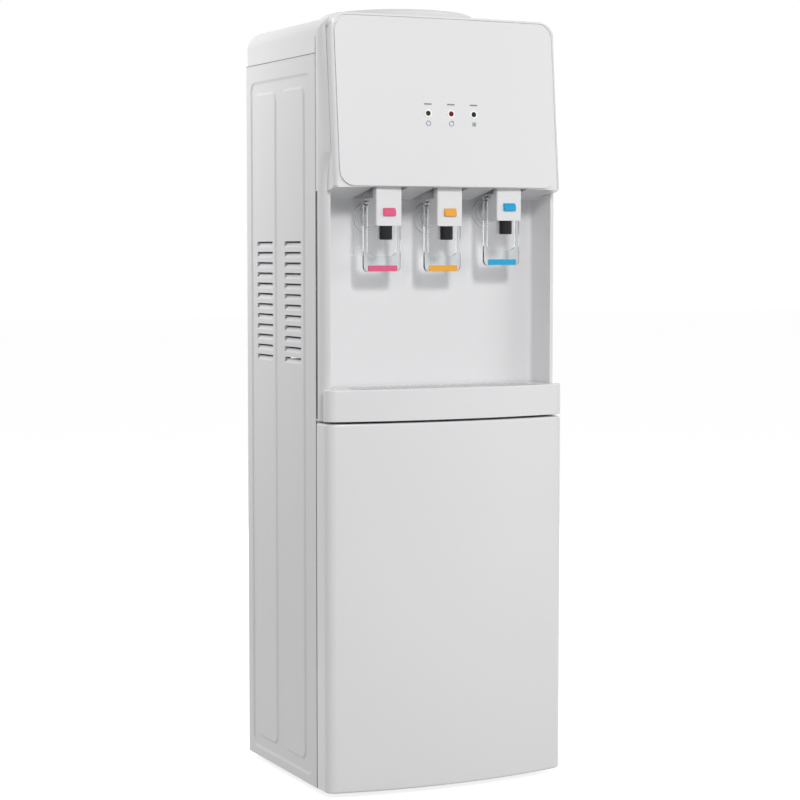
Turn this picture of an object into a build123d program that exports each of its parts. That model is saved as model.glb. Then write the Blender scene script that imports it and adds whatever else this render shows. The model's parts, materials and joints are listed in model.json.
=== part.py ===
from build123d import *
import math
import os

# A free-standing cooler whose water bottle stands behind the lower door. The front faces -Y, the floor is
# Z = 0 and the origin lies under the middle of the whole outline. "Depth" below means the distance behind
# the front edge of the side panels; at() turns it into Y. All sizes are in millimetres.

os.makedirs("parts", exist_ok=True)

# ---------------------------------------------------------------- driving dimensions
cabinet_width = 361.0
cabinet_depth = 252.0
foot_height = 8.0
side_height = 1000.0
cover_height = 48.0
sheet = 1.0  # painted steel sheet
wall = 2.5  # moulded plastic wall
seam = 0.3  # gap left between neighbouring pieces that only meet
running_gap = 0.06  # radial clearance of pins in their holes

# bowed fronts: the door and the drip tray share one outline
front_reach = 60.5
front_corner_reach = 44.0
front_corner_radius = 16.0
front_lap = 1.0  # how far door and tray stand out past each side panel
door_height = 503.0
door_back = 4.0  # depth of the gap that the gasket fills
door_gap = 3.0
tray_height = 43.0
tray_front_back = 28.0  # the tray's front box starts this far ahead of the side panels

# dispensing recess and its frame
column_radius = 18.0
column_reach = 22.9
niche_front_half = 168.7
niche_back_half = 163.6
niche_depth = 25.0
niche_corner_radius = 6.0
cover_edge_radius = 22.0

# leaning head
cheek_width = 8.1
cheek_lead_bottom = 34.0
cheek_lead_top = 15.7
cheek_bottom = 876.0
column_top = 826.0
head_rise = 5.0  # head top above the cover
head_height = 231.0
head_lean = 0.0955  # millimetres forward for each millimetre down
head_reach_top = 33.0
head_side_reach_top = 24.0
head_edge_radius = 8.0
head_top_radius = 27.0
head_foot_radius = 25.0
underside_rise = 0.1975  # slope of the head's underside towards the front
hood_wall = 2.8
face_margin = 6.0
face_groove = 1.6
face_sink = 1.4
face_proud = 1.3
face_radius = 22.0

# three taps
tap_pitch = 91.7
cold_tap_rise = 8.0
tap_front = 44.0
tap_back = 10.0
cap_width = 38.4
cap_bottom = 777.0
cap_top = 834.0
cap_step = 31.0  # the taller front of the cap ends at this reach
cap_step_top = 816.0
shank_height = 789.0
shank_radius = 13.0
nozzle_reach = 33.0
nozzle_radius = 8.85
nozzle_bore = 5.5
nozzle_drop = 18.6
notch_half = 26.0
notch_front = 49.0
lever_reach = 20.0  # middle plane of the clear lever
lever_thickness = 5.0
lever_half = 27.7
lever_window_half = 21.9
lever_bottom = 715.0
lever_window_bottom = 736.4
lever_pivot = 808.0
lever_pin_radius = 2.0
lever_corner = 7.0
lever_bar_width = 43.8
lever_bar_height = 7.8
lever_bar_thickness = 1.4
button_width = 17.8
button_height = 10.2
button_bottom = 790.6
button_proud = 3.4
button_travel = 2.0

# lights on the head
light_pitch = 34.7
light_height = 929.0
light_radius = 3.5

# pressed side panels
press_depth = 1.6
press_slope = 3.5
press_margin_z = 12.0
press_margin_top = 24.0
press_front = 17.5
press_back = 236.5
press_radius = 14.0
rib_front_start = 44.0
rib_rear_start = 146.0
rib_width = 74.5
rib_bottom = 41.0
rib_top = 964.0
rib_radius = 10.0
louvre_rows = 12
louvre_pitch = 14.6
louvre_lowest = 588.0
louvre_width = 60.0
louvre_height = 8.0
louvre_depth = 4.0
front_flange = 10.0
rear_flange = 14.0
rear_proud = 1.8  # heads of the screws in the rear

# round lid on the top
lid_radius = 121.0
lid_height = 38.5
lid_edge_radius = 12.0
lid_opening_radius = 98.0

# ---------------------------------------------------------------- levels worked out from them
front_y = (front_reach - cabinet_depth - rear_proud) / 2
half_width = cabinet_width / 2
front_half = half_width + front_lap
side_bottom = foot_height
side_top = side_bottom + side_height
cover_top = side_top + cover_height
door_bottom = foot_height
door_top = door_bottom + door_height
tray_bottom = door_top + door_gap
tray_top = tray_bottom + tray_height
head_top = cover_top + head_rise
head_bottom = head_top - head_height
head_half = half_width - cheek_width
lean_length = math.sqrt(1 + head_lean**2)


def at(depth):
    """Y of a plane that lies this far behind the front edge of the side panels."""
    return front_y + depth


def underside_z(depth):
    """Height of the head's sloping underside at a depth."""
    head_front = head_reach_top + head_lean * head_height
    return head_bottom - underside_rise * (depth + head_front)


def bowed_outline(half, back, corner, centre, radius):
    """Plan of a bowed front: straight back and sides, one arc across, rounded front corners."""
    with BuildSketch(mode=Mode.PRIVATE) as outline:
        with BuildLine():
            Line((-half, back), (half, back))
            Line((half, back), (half, corner))
            ThreePointArc((half, corner), (0, centre), (-half, corner))
            Line((-half, corner), (-half, back))
        make_face()
        fillet(outline.vertices().filter_by(lambda v: abs(v.Y - corner) < 1e-3), radius)
    return outline.sketch


def door_outline(inset=0.0, back=None):
    """The bow shared by the door and the drip tray, offset inwards by a wall."""
    return bowed_outline(
        front_half - inset,
        at(-door_back) if back is None else back,
        at(-front_corner_reach + inset),
        at(-front_reach + inset),
        front_corner_radius - 2 * inset,
    )


# screws that hold the rear panel to the side panels
screw_radius = 2.0
screw_head_radius = 4.0
screw_x = half_width - rear_flange / 2
screw_levels = (40.0, 270.0, 500.0, 730.0, 975.0)
screw_places = [(side * screw_x, level) for side in (-1, 1) for level in screw_levels]

# ---------------------------------------------------------------- pressed side panels
left_skin = Plane(origin=(-half_width, 0, 0), x_dir=(0, 1, 0), z_dir=(1, 0, 0))
press_form_depth = 8.0
rib_starts = (rib_front_start, rib_rear_start)


def side_form(start):
    """Block whose outer face carries the pressings, set in by start."""
    press_height = side_height - press_margin_z - press_margin_top
    press_middle = (at((press_front + press_back) / 2), side_bottom + press_margin_z + press_height / 2)
    press_width = press_back - press_front
    with BuildPart(mode=Mode.PRIVATE) as form:
        with BuildSketch(left_skin.offset(start)):
            with Locations((at(cabinet_depth / 2), side_bottom + side_height / 2)):
                Rectangle(cabinet_depth, side_height)
        extrude(amount=press_form_depth)
        with BuildSketch(left_skin.offset(start)):
            with Locations(press_middle):
                RectangleRounded(press_width, press_height, press_radius)
        with BuildSketch(left_skin.offset(start + press_depth)):
            with Locations(press_middle):
                RectangleRounded(
                    press_width - 2 * press_slope, press_height - 2 * press_slope, press_radius - press_slope
                )
        loft(mode=Mode.SUBTRACT)
        for rib_start in rib_starts:
            rib_middle = (at(rib_start + rib_width / 2), (rib_bottom + rib_top) / 2)
            with BuildSketch(left_skin.offset(start + press_depth)):
                with Locations(rib_middle):
                    RectangleRounded(
                        rib_width + 2 * press_slope,
                        rib_top - rib_bottom + 2 * press_slope,
                        rib_radius + press_slope,
                    )
            with BuildSketch(left_skin.offset(start)):
                with Locations(rib_middle):
                    RectangleRounded(rib_width, rib_top - rib_bottom, rib_radius)
            loft()
    return form.part


outer_form = side_form(0)
inner_form = side_form(sheet)
louvre_lip = 1.0

with BuildPart() as left_side_panel:
    add(outer_form)
    add(inner_form, mode=Mode.SUBTRACT)
    # flanges turned in along the front, rear, top and bottom edges
    with BuildSketch(left_skin):
        with Locations((at(cabinet_depth / 2), side_bottom + side_height / 2)):
            Rectangle(cabinet_depth, side_height)
            Rectangle(cabinet_depth - 2 * sheet, side_height - 2 * sheet, mode=Mode.SUBTRACT)
    extrude(amount=front_flange)
    with BuildSketch(left_skin):
        with Locations((at(cabinet_depth - sheet / 2), side_bottom + side_height / 2)):
            Rectangle(sheet, side_height)
    extrude(amount=rear_flange)
    # louvres: a slot with a blade that scoops inwards behind it
    for rib_start in rib_starts:
        louvre_start = at(rib_start + (rib_width - louvre_width) / 2)
        with BuildSketch(left_skin):
            for row in range(louvre_rows):
                with Locations(
                    (louvre_start + louvre_width / 2, louvre_lowest + row * louvre_pitch + louvre_height / 2)
                ):
                    Rectangle(louvre_width, louvre_height)
        extrude(amount=sheet, mode=Mode.SUBTRACT)
        with BuildSketch(Plane.XZ.offset(-louvre_start - louvre_width)):
            for row in range(louvre_rows):
                foot = louvre_lowest + row * louvre_pitch
                with BuildLine():
                    Polyline(
                        (-half_width, foot),
                        (-half_width + louvre_depth, foot + louvre_height - 2 * louvre_lip),
                        (-half_width + louvre_depth + louvre_lip, foot + louvre_height - 3 * louvre_lip),
                        (-half_width + sheet, foot - louvre_lip),
                        (-half_width, foot - louvre_lip),
                        close=True,
                    )
                make_face()
        extrude(amount=louvre_width)
        for end in (louvre_start + louvre_lip, louvre_start + louvre_width):
            with BuildSketch(Plane.XZ.offset(-end)):
                for row in range(louvre_rows):
                    foot = louvre_lowest + row * louvre_pitch
                    with BuildLine():
                        Polyline(
                            (-half_width, foot - louvre_lip),
                            (-half_width, foot + louvre_height),
                            (-half_width + sheet, foot + louvre_height),
                            (-half_width + louvre_depth + louvre_lip, foot + louvre_height - 2 * louvre_lip),
                            (-half_width + louvre_depth + louvre_lip, foot + louvre_height - 3 * louvre_lip),
                            (-half_width + sheet, foot - louvre_lip),
                            close=True,
                        )
                    make_face()
            extrude(amount=louvre_lip)
    with BuildSketch(Plane.XZ.offset(-at(cabinet_depth))):
        with Locations(*screw_places[: len(screw_levels)]):
            Circle(screw_radius + running_gap)
    extrude(amount=2 * sheet, mode=Mode.SUBTRACT)
left_side_panel.part.label = "left_side_panel"
export_step(left_side_panel.part, "parts/left_side_panel.step")

with BuildPart() as right_side_panel:
    add(left_side_panel.part)
    mirror(about=Plane.YZ, mode=Mode.REPLACE)
right_side_panel.part.label = "right_side_panel"
export_step(right_side_panel.part, "parts/right_side_panel.step")

# ---------------------------------------------------------------- top cover and round lid
lid_y = at(cabinet_depth / 2)
lid_lip = 3.0
lid_lip_height = 4.0

with BuildPart() as top_cover:
    with BuildSketch(Plane.XY.offset(side_top)):
        with Locations((0, at(cabinet_depth / 2))):
            Rectangle(cabinet_width, cabinet_depth)
    extrude(amount=cover_height)
    rear_edges = top_cover.edges().filter_by(Axis.Z).group_by(Axis.Y)[-1]
    fillet(rear_edges, 6.0)
    rim = top_cover.faces().sort_by(Axis.Z)[-1].edges().filter_by(lambda e: e.center().Y > at(wall))
    fillet(rim, cover_edge_radius)
    offset(amount=-wall, openings=top_cover.faces().sort_by(Axis.Z)[0])
    with BuildSketch(Plane.XY.offset(cover_top - wall)):
        with Locations((0, lid_y)):
            Circle(lid_opening_radius + lid_lip)
    extrude(amount=wall + lid_lip_height)
    with BuildSketch(Plane.XY.offset(cover_top - 2 * wall)):
        with Locations((0, lid_y)):
            Circle(lid_opening_radius)
    extrude(amount=4 * wall, mode=Mode.SUBTRACT)
top_cover.part.label = "top_cover"
export_step(top_cover.part, "parts/top_cover.step")

lid_plane = Plane(origin=(0, lid_y, cover_top), x_dir=(1, 0, 0), z_dir=(0, -1, 0))
lid_axis = Axis((0, lid_y, 0), (0, 0, 1))
lid_spigot_radius = lid_opening_radius - seam
lid_spigot_drop = 8.0

with BuildPart() as top_lid:
    with BuildSketch(lid_plane):
        with BuildLine():
            Line((0, lid_height), (lid_radius - lid_edge_radius, lid_height))
            TangentArc(
                (lid_radius - lid_edge_radius, lid_height),
                (lid_radius, lid_height - lid_edge_radius),
                tangent=(1, 0),
            )
            Polyline(
                (lid_radius, lid_height - lid_edge_radius),
                (lid_radius, 0),
                (lid_radius - wall, 0),
                (lid_radius - wall, lid_height - lid_edge_radius),
            )
            TangentArc(
                (lid_radius - wall, lid_height - lid_edge_radius),
                (lid_radius - lid_edge_radius, lid_height - wall),
                tangent=(0, 1),
            )
            Polyline(
                (lid_radius - lid_edge_radius, lid_height - wall),
                (lid_spigot_radius, lid_height - wall),
                (lid_spigot_radius, -lid_spigot_drop),
                (lid_spigot_radius - wall, -lid_spigot_drop),
                (lid_spigot_radius - wall, lid_height - wall),
                (0, lid_height - wall),
                (0, lid_height),
            )
        make_face()
    revolve(axis=lid_axis)
top_lid.part.label = "top_lid"
export_step(top_lid.part, "parts/top_lid.step")

# ---------------------------------------------------------------- shape of the leaning hood


cheek_back = -seam
frame_top = cover_top
hood_back = cheek_back - wall - seam


lean_plane = Plane(origin=(0, at(0), head_top), x_dir=(-1, 0, 0), z_dir=(0, -head_lean, -1))
lean_overrun = 60.0


def leaning_block(inset, forward=0.0, spread=0.0):
    """Bowed plan extruded along the lean through the whole head; spread widens it along its bow."""
    bow = (head_reach_top - head_side_reach_top) * ((head_half + spread) / head_half) ** 2
    front = -head_reach_top + inset - forward
    plan = bowed_outline(
        head_half - inset + spread,
        niche_depth + 30,
        (front + bow) / lean_length,
        front / lean_length,
        max(head_edge_radius - inset, 2.0),
    )
    with BuildPart(mode=Mode.PRIVATE) as block:
        with BuildSketch(lean_plane.offset(-lean_overrun)):
            add(plan)
        extrude(amount=head_height + 2 * lean_overrun)
    return block.part


def hood_form(inset, back_depth):
    """Solid hood: leaning front, flat back, sloping underside, rounded top corners."""
    back = at(back_depth)
    block = leaning_block(inset)
    with BuildPart(mode=Mode.PRIVATE) as form:
        add(block)
        with BuildSketch(Plane.YZ):
            with BuildLine():
                Polyline(
                    (back, head_top - inset),
                    (at(-2 * front_reach), head_top - inset),
                    (at(-2 * front_reach), underside_z(-2 * front_reach) + inset),
                    (back, underside_z(back_depth) + inset),
                    close=True,
                )
            make_face()
        extrude(amount=head_half, both=True, mode=Mode.INTERSECT)
        with BuildSketch(Plane.XZ.offset(-at(niche_depth))) as front:
            with Locations((0, head_top - inset - head_height)):
                Rectangle(2 * (head_half - inset), 2 * head_height)
            fillet(front.vertices().group_by(Axis.Y)[-1], head_top_radius - inset)
        extrude(amount=2 * front_reach, mode=Mode.INTERSECT)
        # the rounding of the lower front corners fades out towards the back
        for side in (1, -1):
            corner_x = side * (head_half - inset)
            corner_z = head_bottom + inset
            with BuildSketch(Plane.XZ.offset(-at(-front_reach))):
                with BuildLine():
                    Line((corner_x, corner_z + head_foot_radius), (corner_x + side * 60, corner_z + head_foot_radius))
                    Line(
                        (corner_x + side * 60, corner_z + head_foot_radius),
                        (corner_x + side * 60, corner_z - 60),
                    )
                    Line((corner_x + side * 60, corner_z - 60), (corner_x - side * head_foot_radius, corner_z - 60))
                    Line(
                        (corner_x - side * head_foot_radius, corner_z - 60),
                        (corner_x - side * head_foot_radius, corner_z),
                    )
                    ThreePointArc(
                        (corner_x - side * head_foot_radius, corner_z),
                        (
                            corner_x - side * head_foot_radius * (1 - math.sin(math.pi / 4)),
                            corner_z + head_foot_radius * (1 - math.cos(math.pi / 4)),
                        ),
                        (corner_x, corner_z + head_foot_radius),
                    )
                make_face()
            extrude(amount=60, dir=(side * 0.38, 1, -0.38), mode=Mode.SUBTRACT)
    return form.part


hood_outer = hood_form(0, hood_back)
hood_inner = hood_form(hood_wall, hood_back + hood_wall)
hood_room = hood_form(-seam, hood_back + seam)
face_block = leaning_block(0, face_proud, head_edge_radius)
face_back_block = leaning_block(0, -face_sink, head_edge_radius)
face_middle = (head_top + head_bottom) / 2


def face_prism(margin):
    """Rounded rectangle through the whole head, used to cut the face panel and its pocket."""
    with BuildPart(mode=Mode.PRIVATE) as prism:
        with BuildSketch(Plane.XZ.offset(-at(0))):
            with Locations((0, face_middle)):
                RectangleRounded(
                    2 * (head_half - margin), head_height - 2 * margin, face_radius + face_margin - margin
                )
        extrude(amount=2 * front_reach)
    return prism.part


pocket_prism = face_prism(face_margin)
panel_prism = face_prism(face_margin + face_groove)

# ---------------------------------------------------------------- front frame with the recess
def cheek_outline(lead, inner, side_run):
    """Plan of one rounded column or cheek on the +X side, from its outer side to its front tip."""
    with BuildSketch(mode=Mode.PRIVATE) as outline:
        with BuildLine():
            Line((half_width, at(cheek_back)), (half_width, at(-side_run)))
            TangentArc((half_width, at(-side_run)), (inner, at(-lead)), tangent=(0, -1))
            Line((inner, at(-lead)), (inner, at(cheek_back)))
            Line((inner, at(cheek_back)), (half_width, at(cheek_back)))
        make_face()
    return outline.sketch


column_side_run = column_reach - column_radius + 1.0
cheek_side_run = 4.0
cheek_inner = head_half + seam
column_plan = cheek_outline(column_reach, niche_front_half, column_side_run)
column_core_plan = cheek_outline(column_reach - wall, niche_front_half + wall, column_side_run)
cheek_knee_plan = cheek_outline(column_reach + 1.0, niche_front_half + 1.0, column_side_run)
cheek_low_plan = cheek_outline(cheek_lead_bottom, cheek_inner, cheek_side_run)
cheek_high_plan = cheek_outline(cheek_lead_top, cheek_inner, cheek_side_run)
niche_top = underside_z(niche_depth)

with BuildPart() as front_frame:
    # columns beside the recess, flowing into the cheeks beside the head
    with BuildSketch(Plane.XY.offset(tray_bottom)):
        add(column_plan)
    extrude(amount=column_top - tray_bottom)
    with BuildSketch(Plane.XY.offset(column_top)):
        add(column_plan)
    with BuildSketch(Plane.XY.offset(column_top + (cheek_bottom - column_top) / 3)):
        add(cheek_knee_plan)
    with BuildSketch(Plane.XY.offset(cheek_bottom)):
        add(cheek_low_plan)
    loft()
    with BuildSketch(Plane.XY.offset(cheek_bottom)):
        add(cheek_low_plan)
    with BuildSketch(Plane.XY.offset(frame_top)):
        add(cheek_high_plan)
    loft(ruled=True)
    # hollow behind the column, open at the back
    with BuildSketch(Plane.XY.offset(tray_bottom + wall)):
        add(column_core_plan)
    extrude(amount=column_top - tray_bottom - 2 * wall, mode=Mode.SUBTRACT)
    mirror(about=Plane.YZ)
    # side and back walls of the recess
    with BuildSketch(Plane.XY.offset(tray_bottom)):
        with BuildLine():
            Polyline(
                (-niche_front_half - wall, at(-column_reach + wall)),
                (-niche_back_half - wall, at(niche_depth + wall)),
                (niche_back_half + wall, at(niche_depth + wall)),
                (niche_front_half + wall, at(-column_reach + wall)),
                (niche_front_half, at(-column_reach)),
                (niche_back_half, at(niche_depth)),
                (-niche_back_half, at(niche_depth)),
                (-niche_front_half, at(-column_reach)),
                close=True,
            )
        make_face()
    extrude(amount=column_top + wall - tray_bottom)
    niche_corners = front_frame.edges().filter_by(Axis.Z).filter_by(
        lambda e: abs(e.center().Y - at(niche_depth)) < 0.01 and e.length > 200
    )
    fillet(niche_corners, niche_corner_radius)
    # floor under the tray and sloping ceiling over the taps
    with BuildSketch(Plane.XY.offset(tray_bottom)):
        with Locations((0, at((niche_depth - column_reach + wall) / 2))):
            Rectangle(2 * niche_back_half + wall, niche_depth + column_reach - wall)
    extrude(amount=wall)
    with BuildSketch(Plane.YZ):
        with BuildLine():
            Polyline(
                (at(cheek_back - wall), underside_z(cheek_back - wall)),
                (at(niche_depth + wall), underside_z(niche_depth + wall)),
                (at(niche_depth + wall), underside_z(niche_depth + wall) + wall),
                (at(cheek_back - wall), underside_z(cheek_back - wall) + wall),
                close=True,
            )
        make_face()
    extrude(amount=niche_front_half, both=True)
    # mounting plate behind the hood, joining the cheeks, with an opening for the wires and pipes
    with BuildSketch(Plane.XZ.offset(-at(cheek_back))):
        with Locations((0, (column_top + frame_top) / 2)):
            Rectangle(2 * cheek_inner + wall, frame_top - column_top)
            Rectangle(2 * cheek_inner - 60, frame_top - column_top - 50, mode=Mode.SUBTRACT)
    extrude(amount=wall)
    # top corners follow the rounded edge of the cover
    with BuildSketch(Plane.XZ.offset(-at(niche_depth + wall))) as frame_front:
        with Locations((0, (tray_bottom + frame_top) / 2)):
            Rectangle(cabinet_width, frame_top - tray_bottom)
        fillet(frame_front.vertices().group_by(Axis.Y)[-1], cover_edge_radius)
    extrude(amount=niche_depth + front_reach + wall, mode=Mode.INTERSECT)
    # room for the hood
    add(hood_room, mode=Mode.SUBTRACT)
    # channels for the tap caps and holes for their shanks
    for tap in (-1, 0, 1):
        with BuildSketch(Plane.XY.offset(niche_top - wall)):
            with Locations((tap * tap_pitch, at((niche_depth - notch_front) / 2))):
                Rectangle(2 * notch_half, niche_depth + notch_front - 1.0)
        extrude(amount=column_top + 4 * wall - niche_top, mode=Mode.SUBTRACT)
        shank_z = shank_height + (cold_tap_rise if tap == 1 else 0)
        with BuildSketch(Plane.XZ.offset(-at(niche_depth + 2 * wall))):
            with Locations((tap * tap_pitch, shank_z)):
                Circle(shank_radius + seam)
        extrude(amount=4 * wall, mode=Mode.SUBTRACT)
front_frame.part.label = "front_frame"
export_step(front_frame.part, "parts/front_frame.step")

# ---------------------------------------------------------------- leaning hood and its face panel
with BuildPart() as head_hood:
    add(hood_outer)
    add(hood_inner, mode=Mode.SUBTRACT)
    with BuildPart(mode=Mode.PRIVATE) as pocket:
        add(pocket_prism)
        add(face_back_block, mode=Mode.SUBTRACT)
    add(pocket.part, mode=Mode.SUBTRACT)
    for tap in (-1, 0, 1):
        with BuildSketch(Plane.XY.offset(underside_z(niche_depth))):
            with Locations((tap * tap_pitch, at(-notch_front / 2))):
                Rectangle(2 * notch_half, notch_front)
        extrude(amount=cap_top - underside_z(niche_depth), mode=Mode.SUBTRACT)
head_hood.part.label = "head_hood"
export_step(head_hood.part, "parts/head_hood.step")

with BuildPart() as head_panel:
    add(panel_prism)
    add(face_block, mode=Mode.INTERSECT)
    add(face_back_block, mode=Mode.SUBTRACT)
    for light in (-1, 0, 1):
        with BuildSketch(Plane.XZ.offset(-at(0))):
            with Locations((light * light_pitch, light_height)):
                Circle(light_radius + seam / 2)
        extrude(amount=2 * front_reach, mode=Mode.SUBTRACT)
head_panel.part.label = "head_panel"
export_step(head_panel.part, "parts/head_panel.step")

# ---------------------------------------------------------------- lights in the face panel
light_proud = 0.6
light_block = leaning_block(0, face_proud + light_proud, head_edge_radius)
board_reach = 38.0
board_half = 48.0
board_height = 36.0
board_thickness = 1.6
lead_radius = 2.5


def indicator(place):
    """Lens cut out between the panel's back and a surface slightly proud of its front."""
    with BuildPart(mode=Mode.PRIVATE) as lens:
        with BuildSketch(Plane.XZ.offset(-at(0))):
            with Locations((place * light_pitch, light_height)):
                Circle(light_radius)
        extrude(amount=2 * front_reach)
        add(light_block, mode=Mode.INTERSECT)
        add(face_back_block, mode=Mode.SUBTRACT)
    return lens.part


with BuildPart() as power_light:
    add(indicator(-1))
power_light.part.label = "power_light"
export_step(power_light.part, "parts/power_light.step")

with BuildPart() as hot_light:
    add(indicator(0))
hot_light.part.label = "hot_light"
export_step(hot_light.part, "parts/hot_light.step")

with BuildPart() as cold_light:
    add(indicator(1))
cold_light.part.label = "cold_light"
export_step(cold_light.part, "parts/cold_light.step")

with BuildPart() as light_board:
    # four posts reach forward to the inside of the hood
    with BuildSketch(Plane.XZ.offset(-at(-board_reach))):
        with Locations((0, light_height)):
            with GridLocations(2 * board_half - 10, board_height - 10, 2, 2):
                Circle(3.0)
    extrude(amount=front_reach)
    add(hood_inner, mode=Mode.INTERSECT)
    with BuildSketch(Plane.XZ.offset(-at(-board_reach))):
        with Locations((0, light_height)):
            Rectangle(2 * board_half, board_height)
    extrude(amount=-board_thickness)
    with BuildSketch(Plane.XZ.offset(-at(-board_reach))):
        with Locations((0, light_height)):
            with GridLocations(light_pitch, 1, 3, 1):
                Circle(lead_radius)
    extrude(amount=4.0)
light_board.part.label = "light_board"
export_step(light_board.part, "parts/light_board.step")

# ---------------------------------------------------------------- drip tray and grille
tray_sink_back = 22.0
tray_back_half = 162.5
tray_front_half = 167.3
tray_floor = 2.5
tray_clear = 0.4
grille_half = 150.0
grille_front = 45.0
grille_back = 17.0
grille_thickness = 3.0
grille_ledge = 3.0
slot_width = 5.0
slot_length = 48.0
slot_pitch = 12.0
slot_columns = 23


def tray_plan(inset):
    """Bowed front box and the tapered basin behind it."""
    with BuildSketch(mode=Mode.PRIVATE) as plan:
        add(door_outline(inset, back=at(-tray_front_back - inset)))
        with BuildLine():
            Polyline(
                (-tray_front_half + inset, at(-tray_front_back - 2)),
                (tray_front_half - inset, at(-tray_front_back - 2)),
                (tray_back_half - inset, at(tray_sink_back - inset)),
                (-tray_back_half + inset, at(tray_sink_back - inset)),
                close=True,
            )
        make_face()
    return plan.sketch


tray_outer_plan = tray_plan(0)
tray_inner_plan = tray_plan(wall)
grille_middle = at((grille_back - grille_front) / 2)
grille_run = grille_back + grille_front

with BuildPart() as drip_tray:
    with BuildSketch(Plane.XY.offset(tray_bottom)):
        add(tray_outer_plan)
    extrude(amount=tray_height)
    tray_lips = drip_tray.edges().filter_by(
        lambda e: abs(e.center().Z - tray_top) < 0.01 and e.center().Y < at(-tray_front_back - 4)
    )
    fillet(tray_lips, 2.0)
    # clearance over the floor of the recess
    with BuildSketch(Plane.XY.offset(tray_bottom)):
        with Locations((0, at(0))):
            Rectangle(cabinet_width, 2 * tray_front_back, align=(Align.CENTER, Align.CENTER))
    extrude(amount=wall + tray_clear / 2, mode=Mode.SUBTRACT)
    # hollow from below: everything under the basin floor, and both flanks
    with BuildSketch(Plane.XY.offset(tray_bottom)):
        add(tray_inner_plan)
    extrude(amount=2 * wall + tray_clear, mode=Mode.SUBTRACT)
    with BuildSketch(Plane.XY.offset(tray_bottom)):
        add(tray_inner_plan)
        with Locations((0, at(-grille_front + 10))):
            Rectangle(2 * grille_half + 2 * wall, 4 * front_reach, mode=Mode.SUBTRACT)
    extrude(amount=tray_height - wall, mode=Mode.SUBTRACT)
    # basin and the ledge that carries the grille
    with BuildSketch(Plane.XY.offset(tray_bottom + 2 * wall + tray_clear + tray_floor)):
        with Locations((0, grille_middle)):
            RectangleRounded(2 * (grille_half - grille_ledge), grille_run - 2 * grille_ledge, 5.0)
    extrude(amount=tray_height, mode=Mode.SUBTRACT)
    with BuildSketch(Plane.XY.offset(tray_top - grille_thickness)):
        with Locations((0, grille_middle)):
            RectangleRounded(2 * grille_half + 2 * tray_clear, grille_run + 2 * tray_clear, 5.0)
    extrude(amount=tray_height, mode=Mode.SUBTRACT)
drip_tray.part.label = "drip_tray"
export_step(drip_tray.part, "parts/drip_tray.step")

with BuildPart() as drip_grille:
    with BuildSketch(Plane.XY.offset(tray_top - grille_thickness)):
        with Locations((0, grille_middle)):
            RectangleRounded(2 * grille_half, grille_run, 4.6)
            with GridLocations(slot_pitch, 1, slot_columns, 1):
                SlotOverall(slot_length, slot_width, rotation=90, mode=Mode.SUBTRACT)
    extrude(amount=grille_thickness)
drip_grille.part.label = "drip_grille"
export_step(drip_grille.part, "parts/drip_grille.step")

# ---------------------------------------------------------------- door, its liner, seal and hinge
hinge_x = 172.0
hinge_reach = 14.5
hinge_pin_radius = 3.0
hinge_hole_radius = hinge_pin_radius + running_gap
hinge_boss_radius = 7.0
hinge_boss_height = 16.0
plate_thickness = 2.0
door_edge_radius = 3.0
liner_half_width = 150.0
liner_margin_z = 38.0
liner_sink = 35.0
liner_draft = 8.0
liner_sheet = 2.0
seal_half = 175.0
seal_width = 9.0
seal_gap = 0.8
seal_margin = 6.0
door_middle = (door_bottom + door_top) / 2

with BuildPart() as door_panel:
    with BuildSketch(Plane.XY.offset(door_bottom)):
        add(door_outline())
    extrude(amount=door_height)
    door_rims = door_panel.edges().filter_by(lambda e: e.center().Y < at(-door_back - 1)).filter_by(
        lambda e: abs(e.center().Z - door_middle) > door_height / 2 - 0.01
    )
    fillet(door_rims, door_edge_radius)
    with BuildSketch(Plane.XY.offset(door_bottom + wall)):
        add(door_outline(wall))
    extrude(amount=door_height - 2 * wall, mode=Mode.SUBTRACT)
    # bearings for the two hinge pins
    with BuildSketch(Plane.XY.offset(door_bottom)):
        with Locations((hinge_x, at(-hinge_reach))):
            Circle(hinge_boss_radius)
    extrude(amount=hinge_boss_height)
    with BuildSketch(Plane.XY.offset(door_top)):
        with Locations((hinge_x, at(-hinge_reach))):
            Circle(hinge_boss_radius)
    extrude(amount=-hinge_boss_height)
    with BuildSketch(Plane.XY.offset(door_bottom)):
        with Locations((hinge_x, at(-hinge_reach))):
            Circle(hinge_hole_radius)
    extrude(amount=door_height, mode=Mode.SUBTRACT)
door_panel.part.label = "door_panel"
export_step(door_panel.part, "parts/door_panel.step")


def door_pan(start):
    """Plate with a tapered sink pressed into it; start is the distance behind the door's back plane."""
    sink_height = door_height - 2 * liner_margin_z
    rear = Plane(origin=(0, at(-door_back), door_middle), x_dir=(-1, 0, 0), z_dir=(0, -1, 0))
    with BuildPart(mode=Mode.PRIVATE) as pan:
        with BuildSketch(rear.offset(start)):
            Rectangle(2 * (front_half - wall - seam), door_height - 2 * wall - 2 * seam)
        extrude(amount=liner_sheet - start)
        with BuildSketch(rear.offset(0)):
            RectangleRounded(2 * liner_half_width + 2 * start, sink_height + 2 * start, 28.0 + start)
        with BuildSketch(rear.offset(liner_sink + start)):
            RectangleRounded(
                2 * (liner_half_width + start - liner_draft),
                sink_height + 2 * (start - liner_draft),
                20.0 + start,
            )
        loft()
    return pan.part


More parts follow.
